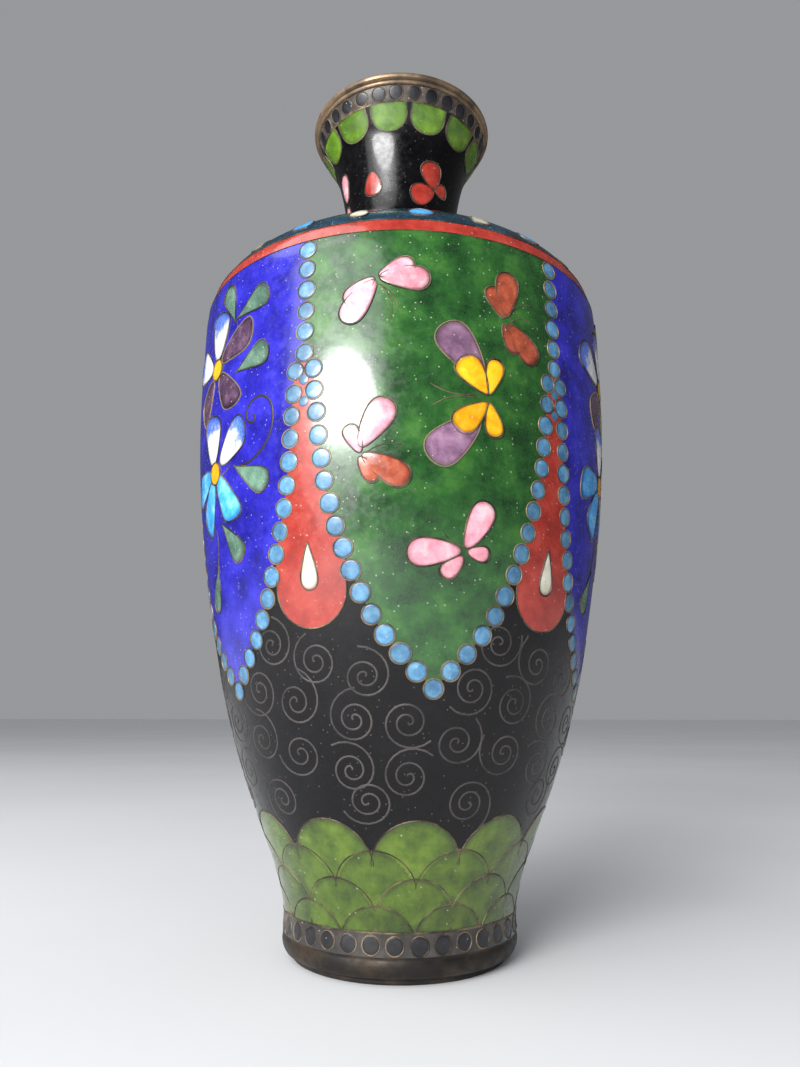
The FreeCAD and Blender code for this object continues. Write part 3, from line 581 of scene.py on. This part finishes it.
class Panel:
    """A hanging panel: its middle, its side lines and its beads, in angles and arcs."""

    def __init__(self, start, width, index):
        self.start = start
        self.width = width
        self.middle = start + width / 2
        self.green = index % 2 == 0
        self.node = f"{'green' if self.green else 'blue'}_panel_{index // 2 + 1}"

    def side(self):
        """Points (swing in degrees, arc) of the line of beads down one side, from the split."""
        below = [(height, share) for height, share in PANEL_TAPER if height < PANEL_SPLIT]
        heights = np.array([height for height, share in below])
        swings = np.array([share for height, share in below]) * self.width / 2
        across = np.radians(swings) * radius_at(heights)
        arcs = arc_at(heights)
        lengths = np.concatenate([[0], np.cumsum(np.hypot(np.diff(across), np.diff(arcs)))])
        places = np.linspace(0, lengths[-1], 120)
        smooth_arcs = spline(lengths, arcs, places)
        smooth_across = np.maximum(spline(lengths, across, places), 0)
        return np.degrees(smooth_across / np.interp(smooth_arcs, ARCS, RADII)), smooth_arcs, places

    def half_at(self, arcs):
        """Half the panel's angle at some arcs."""
        swings, side_arcs, places = self.side()
        swings = np.concatenate([[self.width / 2] * 2, swings])
        side_arcs = np.concatenate([arc_at(np.array([PANELS_TOP, PANEL_SPLIT])), side_arcs])
        return np.interp(arcs, side_arcs[::-1], swings[::-1])

    def beads(self):
        """Angle and height of each bead of the shared column and of the panel's own chain."""
        found = [(self.start, BEAD_COLUMN_TOP - BEAD_PITCH * i) for i in range(BEADS_PER_COLUMN)]
        swings, arcs, places = self.side()
        count = round(places[-1] / BEAD_PITCH)
        for place in np.linspace(0, places[-1], count + 1):
            swing = np.interp(place, places, swings)
            height = np.interp(np.interp(place, places, arcs), ARCS, HEIGHTS)
            found.append((self.middle + swing, height))
            if swing > 0.5:
                found.append((self.middle - swing, height))
        return found


def make_panels():
    panels = []
    start = -PANEL_WIDTHS[0] / 2
    for index, width in enumerate(PANEL_WIDTHS):
        panels.append(Panel(start, width, index))
        start += width
    return panels


def build_panels(panels):
    for panel in panels:
        low = arc_at(PANEL_TIP)
        high = arc_at(PANELS_TOP)
        arcs = np.linspace(low, high, 66)
        share = np.linspace(-1, 1, 34)
        half = np.maximum(panel.half_at(arcs), 0.05)
        turn = np.radians(panel.middle + half[:, None] * share[None, :])
        pile = Pile()
        slab(pile, turn, np.repeat(arcs[:, None], len(share), 1), SHEET_OUT, ENAMEL)
        if panel.green:
            pile.piece(panel.node, "green_enamel", GREEN)
        else:
            pile.piece(panel.node, "blue_enamel", BLUE)


def jitter():
    """A small random shift to the side and up the wall."""
    return rng.uniform(-JITTER, JITTER, 2)


def build_beads(panels):
    beads = Pile()
    wires = Pile()
    for panel in panels:
        for angle, height in panel.beads():
            radius = BEAD_RADIUS * rng.uniform(0.95, 1.03)
            offset = jitter()
            squash = np.array([rng.uniform(0.96, 1.04), 1.0])
            outline = circle(radius) * squash + offset
            cell(beads, outline, angle, height, CELL_OUT, BEAD_DOME, rng.uniform(0.3, 0.7))
            sweep(wires, circle(radius + WIRE / 2) * squash + offset, angle, height, True, shade=0.6)
        for height, radius in FILLERS:
            cell(beads, circle(radius), panel.start, height, CELL_OUT, BEAD_DOME, 0.3)
    beads.piece("pearl_beads_enamel", "bead_enamel", BEAD)
    wires.piece("bead_wires", "cell_wire", CELL_WIRE)


# ------------------------------------------------------------------ pictures in the panels
# Each cell: angle and height of its narrow end, direction, length, width and bend. Angles are
# counted from the panel's middle. The first of a list lies over the later ones.
# Each feeler or stem: angle and height of its foot, direction, length and rise of its bow.
PINK_WINGS = [
    (-13.6, 98.9, 0, 7.2, 3.7, -0.03), (-13.8, 99.2, 19, 5.4, 2.7, 0.06),
    (-14.6, 98.4, 232, 7.6, 3.7, 0.04), (-14.8, 98.8, 216, 5.4, 2.7, 0.06),
    (5.7, 59.1, 181, 7.4, 3.8, 0.03), (6.2, 58.4, 232, 3.8, 2.3, -0.1),
    (6.9, 59.6, 60, 7.2, 3.6, 0.05), (7.4, 59.2, -14, 3.2, 2.1, 0.1),
    (-17.8, 73.4, 62, 7.8, 4.0, -0.05), (-17.9, 72.6, 108, 4.2, 2.3, 0.1),
]
RED_WINGS = [
    (16.3, 94.3, 85, 7.4, 3.8, -0.04), (15.9, 94.1, 110, 5.0, 2.6, 0.06),
    (16.7, 93.2, -40, 7.2, 3.8, -0.04), (16.0, 93.1, -66, 4.6, 2.5, 0.06),
    (-17.4, 72.3, -28, 7.4, 3.6, -0.04), (-18.0, 72.0, -62, 4.0, 2.3, 0.1),
]
YELLOW_WINGS = [
    (11.4, 81.7, 124, 6.3, 4.0, 0.06), (12.0, 81.7, 80, 5.5, 2.7, -0.05),
    (11.4, 80.5, 226, 6.2, 3.7, -0.06), (12.0, 80.5, -80, 5.0, 2.7, 0.05),
]
MAUVE_WINGS = [(10.0, 84.0, 123, 9.4, 5.4, 0.05), (9.4, 78.2, 226, 9.4, 5.3, -0.05)]
FEELERS = [
    (-13.4, 97.8, -75, 5.7, 0.8), (17.6, 94.3, 38, 5.3, 0.7), (17.9, 93.7, 12, 3.8, 0.6),
    (9.0, 81.6, 172, 7.0, 0.8), (9.2, 80.8, 192, 6.8, -0.8), (-16.6, 73.4, 38, 5.3, 0.7),
    (-16.2, 72.7, 9, 5.1, 0.6), (-14.2, 98.0, -52, 4.9, 0.6), (6.6, 59.8, 148, 3.8, 0.4),
]
WHITE_PETALS = [
    (0.5, 92.8, 88, 8.3, 6.0, 0.0), (-2.6, 91.9, 162, 9.0, 5.6, -0.08),
    (-1.4, 75.4, 92, 8.2, 6.0, 0.0), (2.6, 75.2, 30, 8.2, 5.0, 0.08),
]
BLUE_PETALS = [
    (1.0, 73.3, -62, 8.6, 4.9, 0.05), (-1.8, 73.1, 242, 8.6, 5.2, 0.0),
    (-2.8, 74.0, 190, 8.4, 5.0, 0.0),
]
VIOLET_PETALS = [
    (2.8, 92.1, 24, 8.8, 4.7, -0.06), (2.2, 90.0, -58, 7.8, 4.8, 0.06),
    (-2.2, 89.8, 230, 7.2, 4.8, 0.0),
]
FLOWER_CENTRES = [(0.2, 91.2), (-0.6, 74.0)]
FLOWER_CENTRE_RADIUS = 1.7
LEAVES = [
    (8.7, 97.4, 110, 7.8, 3.4, 0.06), (9.2, 98.0, 14, 7.6, 3.9, 0.1), (9.8, 88.7, 12, 7.6, 3.9, 0.06),
    (9.0, 74.0, -36, 8.4, 3.8, 0.12), (1.3, 65.9, -40, 8.0, 3.6, -0.16), (-2.7, 59.6, 246, 7.4, 3.2, 0.0),
]
STEMS = [
    (8.9, 98.0, -88, 4.9, 0.4), (1.4, 69.6, -80, 3.8, 0.4), (-2.0, 65.1, -98, 5.7, 0.5),
    (7.6, 74.3, 196, 3.8, 0.3),
]
# The loose curl of wire, from its coil to the flower: right and up from its own middle.
PANEL_CURL = (16.6, 80.5)
PANEL_CURL_PATH = [
    (0.2, 0.3), (0.6, -0.3), (0.1, -0.9), (-0.8, -0.6), (-1.3, 0.3), (-1.0, 1.6), (0.3, 2.6),
    (2.0, 2.8), (3.6, 1.7), (4.2, -0.6), (3.6, -3.4), (1.8, -5.5), (-0.8, -6.8), (-4.2, -7.0),
]


def leaf_cells(pile, wires, cells, middle, out, rise=0.75, blunt=5.0, lean=0.0, worn=0.5):
    """Cells of one kind with the wires round them. A worn wire is paler."""
    for rank, (angle, height, direction, length, width, bend) in enumerate(cells):
        outline = petal(length, width, direction, bend, rise, blunt, lean)
        over = out + CELL_STEP * (len(cells) - rank)
        reach = (math.radians(direction), length)
        place = (middle + angle, height)
        cell(pile, outline, *place, over, shade=rng.uniform(0.35, 0.65), length=reach)
        rim = petal(length + WIRE, width + WIRE, direction, bend, rise, blunt, lean)
        sweep(wires, rim, *place, True, over + 0.05, shade=worn)


def build_butterflies(panels):
    pink = Pile()
    red = Pile()
    yellow = Pile()
    mauve = Pile()
    wires = Pile()
    for panel in panels:
        if not panel.green:
            continue
        leaf_cells(mauve, wires, MAUVE_WINGS, panel.middle, CELL_OUT, 0.45, 6.0, worn=0.9)
        leaf_cells(yellow, wires, YELLOW_WINGS, panel.middle, CELL_OUT + 0.05, 0.65)
        leaf_cells(pink, wires, PINK_WINGS, panel.middle, CELL_OUT, 0.5)
        leaf_cells(red, wires, RED_WINGS, panel.middle, CELL_OUT, 0.5)
        for angle, height, direction, length, rise in FEELERS:
            path = bow(length, rise, direction)
            sweep(wires, path, panel.middle + angle, height, False, SHEET_OUT + 0.05, 0.16)
    pink.piece("wings_pink_enamel", "pink_enamel", PINK)
    red.piece("wings_red_enamel", "russet_enamel", RUSSET)
    yellow.piece("wings_yellow_enamel", "yellow_enamel", YELLOW)
    mauve.piece("wings_mauve_enamel", "mauve_enamel", MAUVE)
    wires.piece("butterfly_wires", "cell_wire", CELL_WIRE)


def build_flowers(panels):
    centres = Pile()
    white = Pile()
    blue = Pile()
    violet = Pile()
    leaves = Pile()
    wires = Pile()
    for panel in panels:
        if panel.green:
            continue
        leaf_cells(violet, wires, VIOLET_PETALS, panel.middle, CELL_OUT, 0.45, 8.0, 0.35, 0.95)
        leaf_cells(blue, wires, BLUE_PETALS, panel.middle, CELL_OUT, 0.4, 12.0, 0.3)
        leaf_cells(white, wires, WHITE_PETALS, panel.middle, CELL_OUT + 0.03, 0.45, 8.0, 0.25)
        leaf_cells(leaves, wires, LEAVES, panel.middle, CELL_OUT, 1.2, 5.0)
        for angle, height in FLOWER_CENTRES:
            place = (panel.middle + angle, height)
            cell(centres, circle(FLOWER_CENTRE_RADIUS), *place, CELL_OUT + 0.1)
            sweep(wires, circle(FLOWER_CENTRE_RADIUS + WIRE / 2), *place, True, CELL_OUT + 0.15)
        for angle, height, direction, length, rise in STEMS:
            path = bow(length, rise, direction)
            sweep(wires, path, panel.middle + angle, height, False, SHEET_OUT + 0.06)
        angle, height = PANEL_CURL
        path = through(PANEL_CURL_PATH, 70)
        sweep(wires, path, panel.middle + angle, height, False, SHEET_OUT + 0.08, 0.4, 0.25)
    centres.piece("flower_centres_enamel", "yellow_enamel", YELLOW)
    white.piece("flower_petals_white_enamel", "petal_enamel", PETAL)
    blue.piece("flower_petals_blue_enamel", "sky_enamel", SKY)
    violet.piece("flower_petals_violet_enamel", "violet_enamel", VIOLET)
    leaves.piece("leaves_enamel", "leaf_enamel", LEAF)
    wires.piece("flower_wires", "cell_wire", CELL_WIRE)


# ------------------------------------------------------------------ drops
DROP_RADIUS = 5.55
DROP_CENTRE = 54.3
DROP_TOP = 87.9
WHITE_DROP = (60.4, 6.3, 2.5)       # height of its point, length, width


def drop_swings(panel, before, arcs):
    """The drop's edges to the right and left of its middle line, in degrees."""
    heights = np.interp(arcs, ARCS, HEIGHTS)
    fall = np.clip(DROP_CENTRE - heights, 0, DROP_RADIUS)
    half = np.sqrt(DROP_RADIUS ** 2 - fall ** 2)
    round_swing = np.degrees(half / np.interp(arcs, ARCS, RADII))
    right = np.minimum(panel.width / 2 - panel.half_at(arcs), round_swing)
    left = np.minimum(before.width / 2 - before.half_at(arcs), round_swing)
    return right, left


def build_drops(panels):
    red = Pile()
    white = Pile()
    wires = Pile()
    low = arc_at(DROP_CENTRE - DROP_RADIUS)
    high = arc_at(DROP_TOP)
    arcs = low + (high - low) * np.linspace(0, 1, 46) ** 1.5     # closest together at the round end
    share = np.linspace(0, 1, 15)
    for index, panel in enumerate(panels):
        right, left = drop_swings(panel, panels[index - 1], arcs)
        turn = panel.start + right[:, None] * share - left[:, None] * (1 - share)
        slab(red, np.radians(turn), np.repeat(arcs[:, None], len(share), 1), SHEET_OUT + 0.02, ENAMEL)
        below = np.interp(arcs, ARCS, HEIGHTS) < DROP_CENTRE + 3
        scale = np.radians(1) * np.interp(arcs, ARCS, RADII)
        up = arcs - arc_at(DROP_CENTRE)
        left_line = np.stack([-left * scale, up], -1)[below]
        right_line = np.stack([right * scale, up], -1)[below]
        path = np.concatenate([left_line[::-1], right_line[1:]])
        sweep(wires, path, panel.start, DROP_CENTRE, False, SHEET_OUT + 0.07)
        point, length, width = WHITE_DROP
        outline = petal(length, width, -90, 0.0, 0.85, 5.0)
        cell(white, outline, panel.start, point, CELL_OUT, length=(-math.pi / 2, length))
        rim = petal(length + 2 * WIRE, width + WIRE, -90, 0.0, 0.85, 5.0) + np.array([0, WIRE])
        sweep(wires, rim, panel.start, point, True, CELL_OUT + 0.06)
    red.piece("red_drops_enamel", "red_enamel", RED)
    white.piece("white_drops_enamel", "white_enamel", WHITE)
    wires.piece("drop_wires", "cell_wire", CELL_WIRE)


# ------------------------------------------------------------------ lower ground and scales
GROUND_TOP = 60.6
SCALES_TOP = 23.0
SCALES_PER_ROW = 11
SCALE_ROWS = 4
SCALE_ROW_STEP = 3.85
SCALE_RISE = 6.0
SCALE_ANGLE = -2.5
SCALE_OVERLAP = 1.02        # a scale's width, over its share of the row
# Tone of each row of scales, top row first: each lower row darker, painted shade towards the foot.
ROW_PAINTED_SHADE = (0.66, 0.56, 0.48, 0.42)
GROUND_CURLS = [
    (-13.5, 46.8, 1, 40), (0.5, 44.1, -1, 150), (13.8, 42.3, 1, 60), (-20.5, 40.6, -1, 200),
    (-7.0, 38.7, 1, 90), (10.0, 36.4, -1, 120), (25.0, 36.0, 1, 10), (-23.5, 33.5, 1, 80),
    (-8.0, 31.7, -1, 170), (8.6, 29.7, 1, 110), (25.0, 28.9, -1, 40),
]
LOW_CURL_HEIGHT = 25.2
CURL_REACH = 3.55


def build_curls(panels):
    wires = Pile()
    places = [(panel.start + angle, height, hand, turn)
              for panel in panels for angle, height, hand, turn in GROUND_CURLS]
    half_step = 180 / SCALES_PER_ROW
    for index, angle in enumerate(around(SCALES_PER_ROW, SCALE_ANGLE + half_step)):
        places.append((angle, LOW_CURL_HEIGHT, 1 if index % 2 else -1, 60 * index))
    for angle, height, hand, turn in places:
        turns = rng.uniform(1.9, 2.15)
        inner = rng.uniform(0.5, 0.7)
        pitch = (CURL_REACH - inner) / turns
        path = spiral(inner, pitch, turns, hand, turn + rng.uniform(-25, 25), rng.uniform(0.4, 1.6))
        path = path * np.array([1.0, rng.uniform(0.94, 1.04)]) + jitter() * 3
        sweep(wires, path, angle, height, False, 0.05, 0.27)
    wires.piece("curl_wires", "cell_wire", CURL_WIRE)


def scale_outline(radius, floor, count=40):
    """The part of a round above a level line, which lies a distance floor below its middle."""
    if floor >= radius:
        return circle(radius, count)
    start = math.degrees(math.asin(-floor / radius))
    turns = np.radians(np.linspace(start, 180 - start, count))
    round_part = polar(radius, turns)
    chord = np.linspace(round_part[-1], round_part[0], 10)[1:-1]
    return np.concatenate([round_part, chord])


def build_scales():
    cells = Pile()
    wires = Pile()
    level = arc_at(SCALES_LOW)
    for row in range(SCALE_ROWS):
        centre = SCALES_TOP - SCALE_ROW_STEP * row - SCALE_RISE
        height = max(centre, SCALES_LOW)
        radius = SCALE_OVERLAP * math.pi * radius_at(max(centre, FOOT_TOP)) / SCALES_PER_ROW
        drop = arc_at(height) - arc_at(max(centre, FOOT_TOP))
        first = SCALE_ANGLE + (180 / SCALES_PER_ROW if row % 2 else 0)
        floor = arc_at(height) - drop - level
        for angle in around(SCALES_PER_ROW, first):
            tilt = rng.uniform(-0.12, 0.12, 2)
            outline = scale_outline(radius, floor) - np.array([0, drop])
            outline += tilt * (outline[:, 1:] > 0)
            # Painted shade by row, with a small random spread of the enamel's own tone.
            shade = ROW_PAINTED_SHADE[row] + rng.uniform(-0.07, 0.07)
            out = SHEET_OUT + 0.03 * row
            cell(cells, outline, angle, height, out, 0.04, shade)
            sweep(wires, outline, angle, height, True, out + 0.06)
    cells.piece("scales_enamel", "scale_enamel", SCALE)
    wires.piece("scale_wires", "cell_wire", CELL_WIRE)


def build_lower_ground():
    pile = Pile()
    zone(pile, SCALES_LOW, GROUND_TOP)
    pile.piece("lower_ground_enamel", "black_enamel", BLACK)


# ------------------------------------------------------------------ borders, neck and shoulder
LIP_DOTS = 30
LIP_DOT_RADIUS = 1.15
FOOT_DOTS = 34
FOOT_DOT_RADIUS = 1.2
LIP_PETALS = 12
LIP_PETAL_WIDTH = 6.9
LIP_PETAL_LENGTH = 5.2
LIP_PETAL_ANGLE = 12.0
NECK_REPEATS = (0, 180)
NECK_RED = [
    (25.4, 132.9, 203, 4.6, 4.1, 0.0), (24.5, 133.5, 102, 5.0, 4.2, 0.0),
    (26.6, 133.4, 12, 2.8, 2.5, 0.0), (-37.6, 136.6, -90, 4.6, 3.4, 0.0),
]
NECK_PINK = [(-78.0, 134.3, 90, 5.6, 3.1, 0.0), (-79.0, 129.4, 92, 3.9, 1.6, 0.0)]
SHOULDER_PETALS = 11
SHOULDER_PETAL_ANGLE = -3.5
SHOULDER_PETAL_TOP = 114.0
SHOULDER_PETAL_LENGTH = 4.8


def dotted_border(low, high, count, radius, names, slots, glass):
    """A level row of round dots in wires on a plain ground."""
    dots = Pile()
    wires = Pile()
    ground = Pile()
    zone(ground, low, high, step=0.6)
    middle = (low + high) / 2
    for angle in around(count):
        size = radius * rng.uniform(0.95, 1.04)
        offset = jitter()
        cell(dots, circle(size) + offset, angle, middle, 0.03, 0.03, rng.uniform(0.3, 0.8))
        sweep(wires, circle(size + WIRE / 2) + offset, angle, middle, True, 0.08)
    dots.piece(names[0], slots[0], DOT)
    wires.piece(names[1], "cell_wire", CELL_WIRE)
    ground.piece(names[2], slots[1], glass)


def hanging_petal(width, length):
    """A petal that hangs from a level line, round at the bottom."""
    half = width / 2
    turns = np.radians(np.linspace(180, 360, 19))
    centre = half - length
    low = [(half * math.cos(a), centre + half * math.sin(a)) for a in turns]
    level = [(x, -0.05) for x in np.linspace(half, -half, 8)]
    return np.array(low + [(half, -0.4)] + level + [(-half, -0.4)])


def build_lip_and_neck():
    dotted_border(LIP_BORDER_LOW, LIP_LOW, LIP_DOTS, LIP_DOT_RADIUS,
                  ("lip_dots_enamel", "lip_dot_wires", "lip_border_enamel"),
                  ("dot_enamel", "border_enamel"), BORDER)
    ground = Pile()
    lime = Pile()
    lime_wires = Pile()
    red = Pile()
    pink = Pile()
    wires = Pile()
    zone(ground, NECK_LOW, NECK_TOP)
    ground.piece("neck_ground_enamel", "black_enamel", BLACK)
    for angle in around(LIP_PETALS, LIP_PETAL_ANGLE):
        outline = hanging_petal(LIP_PETAL_WIDTH, LIP_PETAL_LENGTH * rng.uniform(0.95, 1.04))
        cell(lime, outline, angle, NECK_TOP, CELL_OUT, shade=rng.uniform(0.4, 0.62))
        sweep(lime_wires, outline, angle, NECK_TOP, True)
    lime.piece("lip_petals_enamel", "lime_enamel", LIME)
    lime_wires.piece("lip_petal_wires", "cell_wire", CELL_WIRE)
    for repeat in NECK_REPEATS:
        leaf_cells(red, wires, NECK_RED, repeat, CELL_OUT, 0.5, 4.0)
        leaf_cells(pink, wires, NECK_PINK, repeat, CELL_OUT, 0.5, 4.0)
    red.piece("neck_petals_red_enamel", "red_enamel", RED)
    pink.piece("neck_petals_pink_enamel", "pink_enamel", PINK)
    wires.piece("neck_wires", "cell_wire", CELL_WIRE)


def build_shoulder():
    ground = Pile()
    band = Pile()
    blue = Pile()
    white = Pile()
    wires = Pile()
    zone(ground, SHOULDER_LOW, SHOULDER_TOP)
    ground.piece("shoulder_ground_enamel", "teal_enamel", TEAL)
    zone(band, BAND_LOW, BAND_TOP, 0.04, step=0.4)
    band.piece("shoulder_band_enamel", "red_enamel", RED)
    half_step = 180 / SHOULDER_PETALS
    for angle in around(SHOULDER_PETALS, SHOULDER_PETAL_ANGLE):
        for pile, turn, width in ((blue, 0, 3.6), (white, half_step, 2.8)):
            petals = [(turn, SHOULDER_PETAL_TOP, -90, SHOULDER_PETAL_LENGTH, width, 0.0)]
            leaf_cells(pile, wires, petals, angle, CELL_OUT)
    blue.piece("shoulder_petals_blue_enamel", "blue_enamel", SKY)
    white.piece("shoulder_petals_white_enamel", "white_enamel", WHITE)
    wires.piece("shoulder_wires", "cell_wire", CELL_WIRE)


def build_border_wires():
    pile = Pile()
    borders = ((FOOT_BORDER_TOP, SCALES_LOW), (PANELS_TOP, BAND_LOW), (BAND_TOP, SHOULDER_LOW),
               (SHOULDER_TOP, NECK_LOW), (NECK_TOP, LIP_BORDER_LOW))
    for low, high in borders:
        zone(pile, low - 0.02, high + 0.02, WIRE_OUT, step=0.06)
    pile.piece("border_wires", "cell_wire", CELL_WIRE)


# ------------------------------------------------------------------ metal mounts and linings
FOOT_INSIDE = 15.4
BASE_SEAT = 3.0             # the base plate rests on the foot ring at this height
SEAT_RADIUS = 16.2
LIP_REACH = 16.9            # middle of the roll, out from the axis
LIP_ROLL = 0.7
LIP_BEAD = 0.42


def build_foot():
    """The foot ring: a worn lower edge, a round belly and a step up to the enamel."""
    wall = wall_point(0, 0)
    under = wall_point(0, -WALL)
    section = [(FOOT_INSIDE, BASE_SEAT), (FOOT_INSIDE, 0.3)]
    section += arc_line((FOOT_INSIDE + 0.3, 0.3), 0.3, 180, 270, 5)[1:]
    section += arc_line((16.9, 0.4), 0.4, 270, 380, 7)
    section += [(17.35, 0.75), (17.6, 1.0)]
    section += arc_line((16.35, 2.75), 2.5, -40, 22, 14)
    section += [wall, under, (SEAT_RADIUS, under[1]), (SEAT_RADIUS, BASE_SEAT)]
    pile = Pile()
    lathe(pile, section, wobble=0.04)
    pile.piece("foot_ring", "foot_metal", SHADED_FOOT_BRASS)


def build_lip():
    """The lip ring: a small round bead, then a roll along the top."""
    top = arc_at(LIP_LOW)
    wall = wall_point(top, 0)
    inside = wall_point(top, -WALL - LINING)
    section = [wall] + arc_line((wall[0] + 0.1, wall[1] + LIP_BEAD), LIP_BEAD, -70, 80, 10)
    section += [(wall[0] + 0.35, wall[1] + 0.9)]
    section += arc_line((LIP_REACH, HEIGHT - LIP_ROLL), LIP_ROLL, -38, 165, 20)
    section += [inside]
    pile = Pile()
    lathe(pile, section, wobble=0.05)
    pile.piece("lip_ring", "lip_metal", LIP_BRASS)


def build_linings():
    """Plain enamel over the inside and under the base plate."""
    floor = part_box("inner_enamel")[0].z / MM
    arcs = np.linspace(arc_at(floor + 1.0), arc_at(LIP_LOW), 90)
    outer = [wall_point(arc, -WALL) for arc in arcs]
    inner = [wall_point(arc, -WALL - LINING) for arc in arcs]
    corner = [(inner[0][0] - 0.5, floor + 0.75), (inner[0][0] - 1.3, floor + 0.45)]
    bottom = [(0.02, floor + 0.4), (0.02, floor), (outer[0][0], floor)]
    inside = Pile()
    lathe(inside, outer + inner[::-1] + corner + bottom)
    inside.piece("inner_enamel", "lining", INSIDE)
    low = low_of("base_enamel")
    high = high_of("base_enamel")
    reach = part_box("base_enamel")[1].x / MM
    under = Pile()
    lathe(under, [(0.02, low), (reach - 0.6, low), (reach - 0.1, low + 0.12), (reach, high),
                  (0.02, high)])
    under.piece("base_enamel", "lining", INSIDE)


def paint_copper():
    """The CAD's own copper parts, which the enamel hides."""
    for node in ("copper_bowl", "copper_belly", "copper_shoulder", "copper_neck", "base_plate"):
        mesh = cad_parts[node].data
        mesh.materials.clear()
        mesh.materials.append(COPPER)


# ------------------------------------------------------------------ studio
FLOOR_REACH = 6000.0
WORLD_LIGHT = 0.5           # even light from all round
WORLD_MIRROR = 0.1          # how bright that is in the polished glass
WORLD_SEEN = 0.37           # and behind the vase
# Soft lights: name, angle round the vase, elevation, distance, width, height and watts.
LIGHTS = [
    ("key", -38, 15.5, 620, 370, 170, 4.6),
    ("glow", -43, 22, 700, 620, 700, 2.8),
    ("top", -70, 55, 900, 700, 500, 2.1),
]
LIGHT_AIM = 80.0            # height of the point they face
CAMERA_DISTANCE = 138.7
CAMERA_HEIGHT = 37.1
CAMERA_ANGLE = -8.67        # where the camera stands round the vase
CAMERA_TURN = -8.63         # the way it faces
CAMERA_PITCH = 12.98
CAMERA_ROLL = 0.12
LENS = 26.5
FILM = 36.0


def outward(azimuth, elevation):
    """A unit vector out from the axis, at an angle round the vase and one above the floor."""
    turn = math.radians(azimuth)
    rise = math.radians(elevation)
    level = math.cos(rise)
    return np.array([math.sin(turn) * level, -math.cos(turn) * level, math.sin(rise)])


def soft_light(name, azimuth, elevation, distance, width, height, power):
    """An oval light of a size in millimetres that faces a point on the axis."""
    data = bpy.data.lights.new(name, "AREA")
    data.shape = "ELLIPSE"
    data.size = width * MM
    data.size_y = height * MM
    data.energy = power
    light = bpy.data.objects.new(name, data)
    bpy.context.scene.collection.objects.link(light)
    away = outward(azimuth, elevation)
    light.location = (away * distance + np.array([0, 0, LIGHT_AIM])) * MM
    light.rotation_mode = "QUATERNION"
    light.rotation_quaternion = Matrix(np.stack(look_axes(away), -1).tolist()).to_quaternion()


def look_axes(away):
    """Right, up and back axes of a light that faces against a direction."""
    right = np.cross([0, 0, 1.0], away)
    right /= np.linalg.norm(right)
    return right, np.cross(away, right), away


def build_studio():
    mesh = bpy.data.meshes.new("floor_mesh")
    reach = FLOOR_REACH * MM
    mesh.from_pydata([(-reach, -reach, 0), (reach, -reach, 0), (reach, reach, 0), (-reach, reach, 0)],
                     [], [(0, 1, 2, 3)])
    floor = bpy.data.objects.new("floor", mesh)
    bpy.context.scene.collection.objects.link(floor)
    s = Shader("pale_floor")
    cloud = s.noise(6.0, 3.0)
    s.set(s.body, Base_Color=s.ramp(cloud, [(0.3, tint(214, 215, 217)), (0.7, tint(221, 222, 224))]))
    s.set(s.body, Roughness=0.85)
    mesh.materials.append(s.material)

    world = bpy.data.worlds.new("studio")
    bpy.context.scene.world = world
    world.use_nodes = True
    tree = world.node_tree
    background = tree.nodes["Background"]
    background.inputs["Color"].default_value = tint(236, 238, 242)
    ray = tree.nodes.new("ShaderNodeLightPath")
    mirror = tree.nodes.new("ShaderNodeMapRange")
    mirror.inputs["To Min"].default_value = WORLD_LIGHT
    mirror.inputs["To Max"].default_value = WORLD_MIRROR
    tree.links.new(ray.outputs["Is Glossy Ray"], mirror.inputs["Value"])
    seen = tree.nodes.new("ShaderNodeMapRange")
    seen.inputs["To Max"].default_value = WORLD_SEEN
    tree.links.new(ray.outputs["Is Camera Ray"], seen.inputs["Value"])
    tree.links.new(mirror.outputs["Result"], seen.inputs["To Min"])
    tree.links.new(seen.outputs["Result"], background.inputs["Strength"])

    for light in LIGHTS:
        soft_light(*light)


def build_camera():
    data = bpy.data.cameras.new("camera")
    data.lens = LENS
    data.sensor_width = FILM
    data.clip_start = 0.005
    camera = bpy.data.objects.new("camera", data)
    bpy.context.scene.collection.objects.link(camera)
    place = outward(CAMERA_ANGLE, 0) * CAMERA_DISTANCE + np.array([0, 0, CAMERA_HEIGHT])
    turn = Matrix.Rotation(math.radians(CAMERA_TURN), 4, "Z")
    pitch = Matrix.Rotation(math.radians(90 + CAMERA_PITCH), 4, "X")
    roll = Matrix.Rotation(math.radians(CAMERA_ROLL), 4, "Z")
    camera.matrix_world = Matrix.Translation((place * MM).tolist()) @ turn @ pitch @ roll
    bpy.context.scene.camera = camera


# ------------------------------------------------------------------ assembly
panels = make_panels()
build_lower_ground()
build_curls(panels)
build_scales()
dotted_border(FOOT_TOP, FOOT_BORDER_TOP, FOOT_DOTS, FOOT_DOT_RADIUS,
              ("foot_dots_enamel", "foot_dot_wires", "foot_border_enamel"),
              ("dot_enamel", "border_enamel"), SHADED_FOOT_BORDER)
build_panels(panels)
build_beads(panels)
build_butterflies(panels)
build_flowers(panels)
build_drops(panels)
build_shoulder()
build_lip_and_neck()
build_border_wires()
build_foot()
build_lip()
build_linings()
paint_copper()
build_studio()
build_camera()
bpy.context.scene.view_settings.view_transform = "Standard"
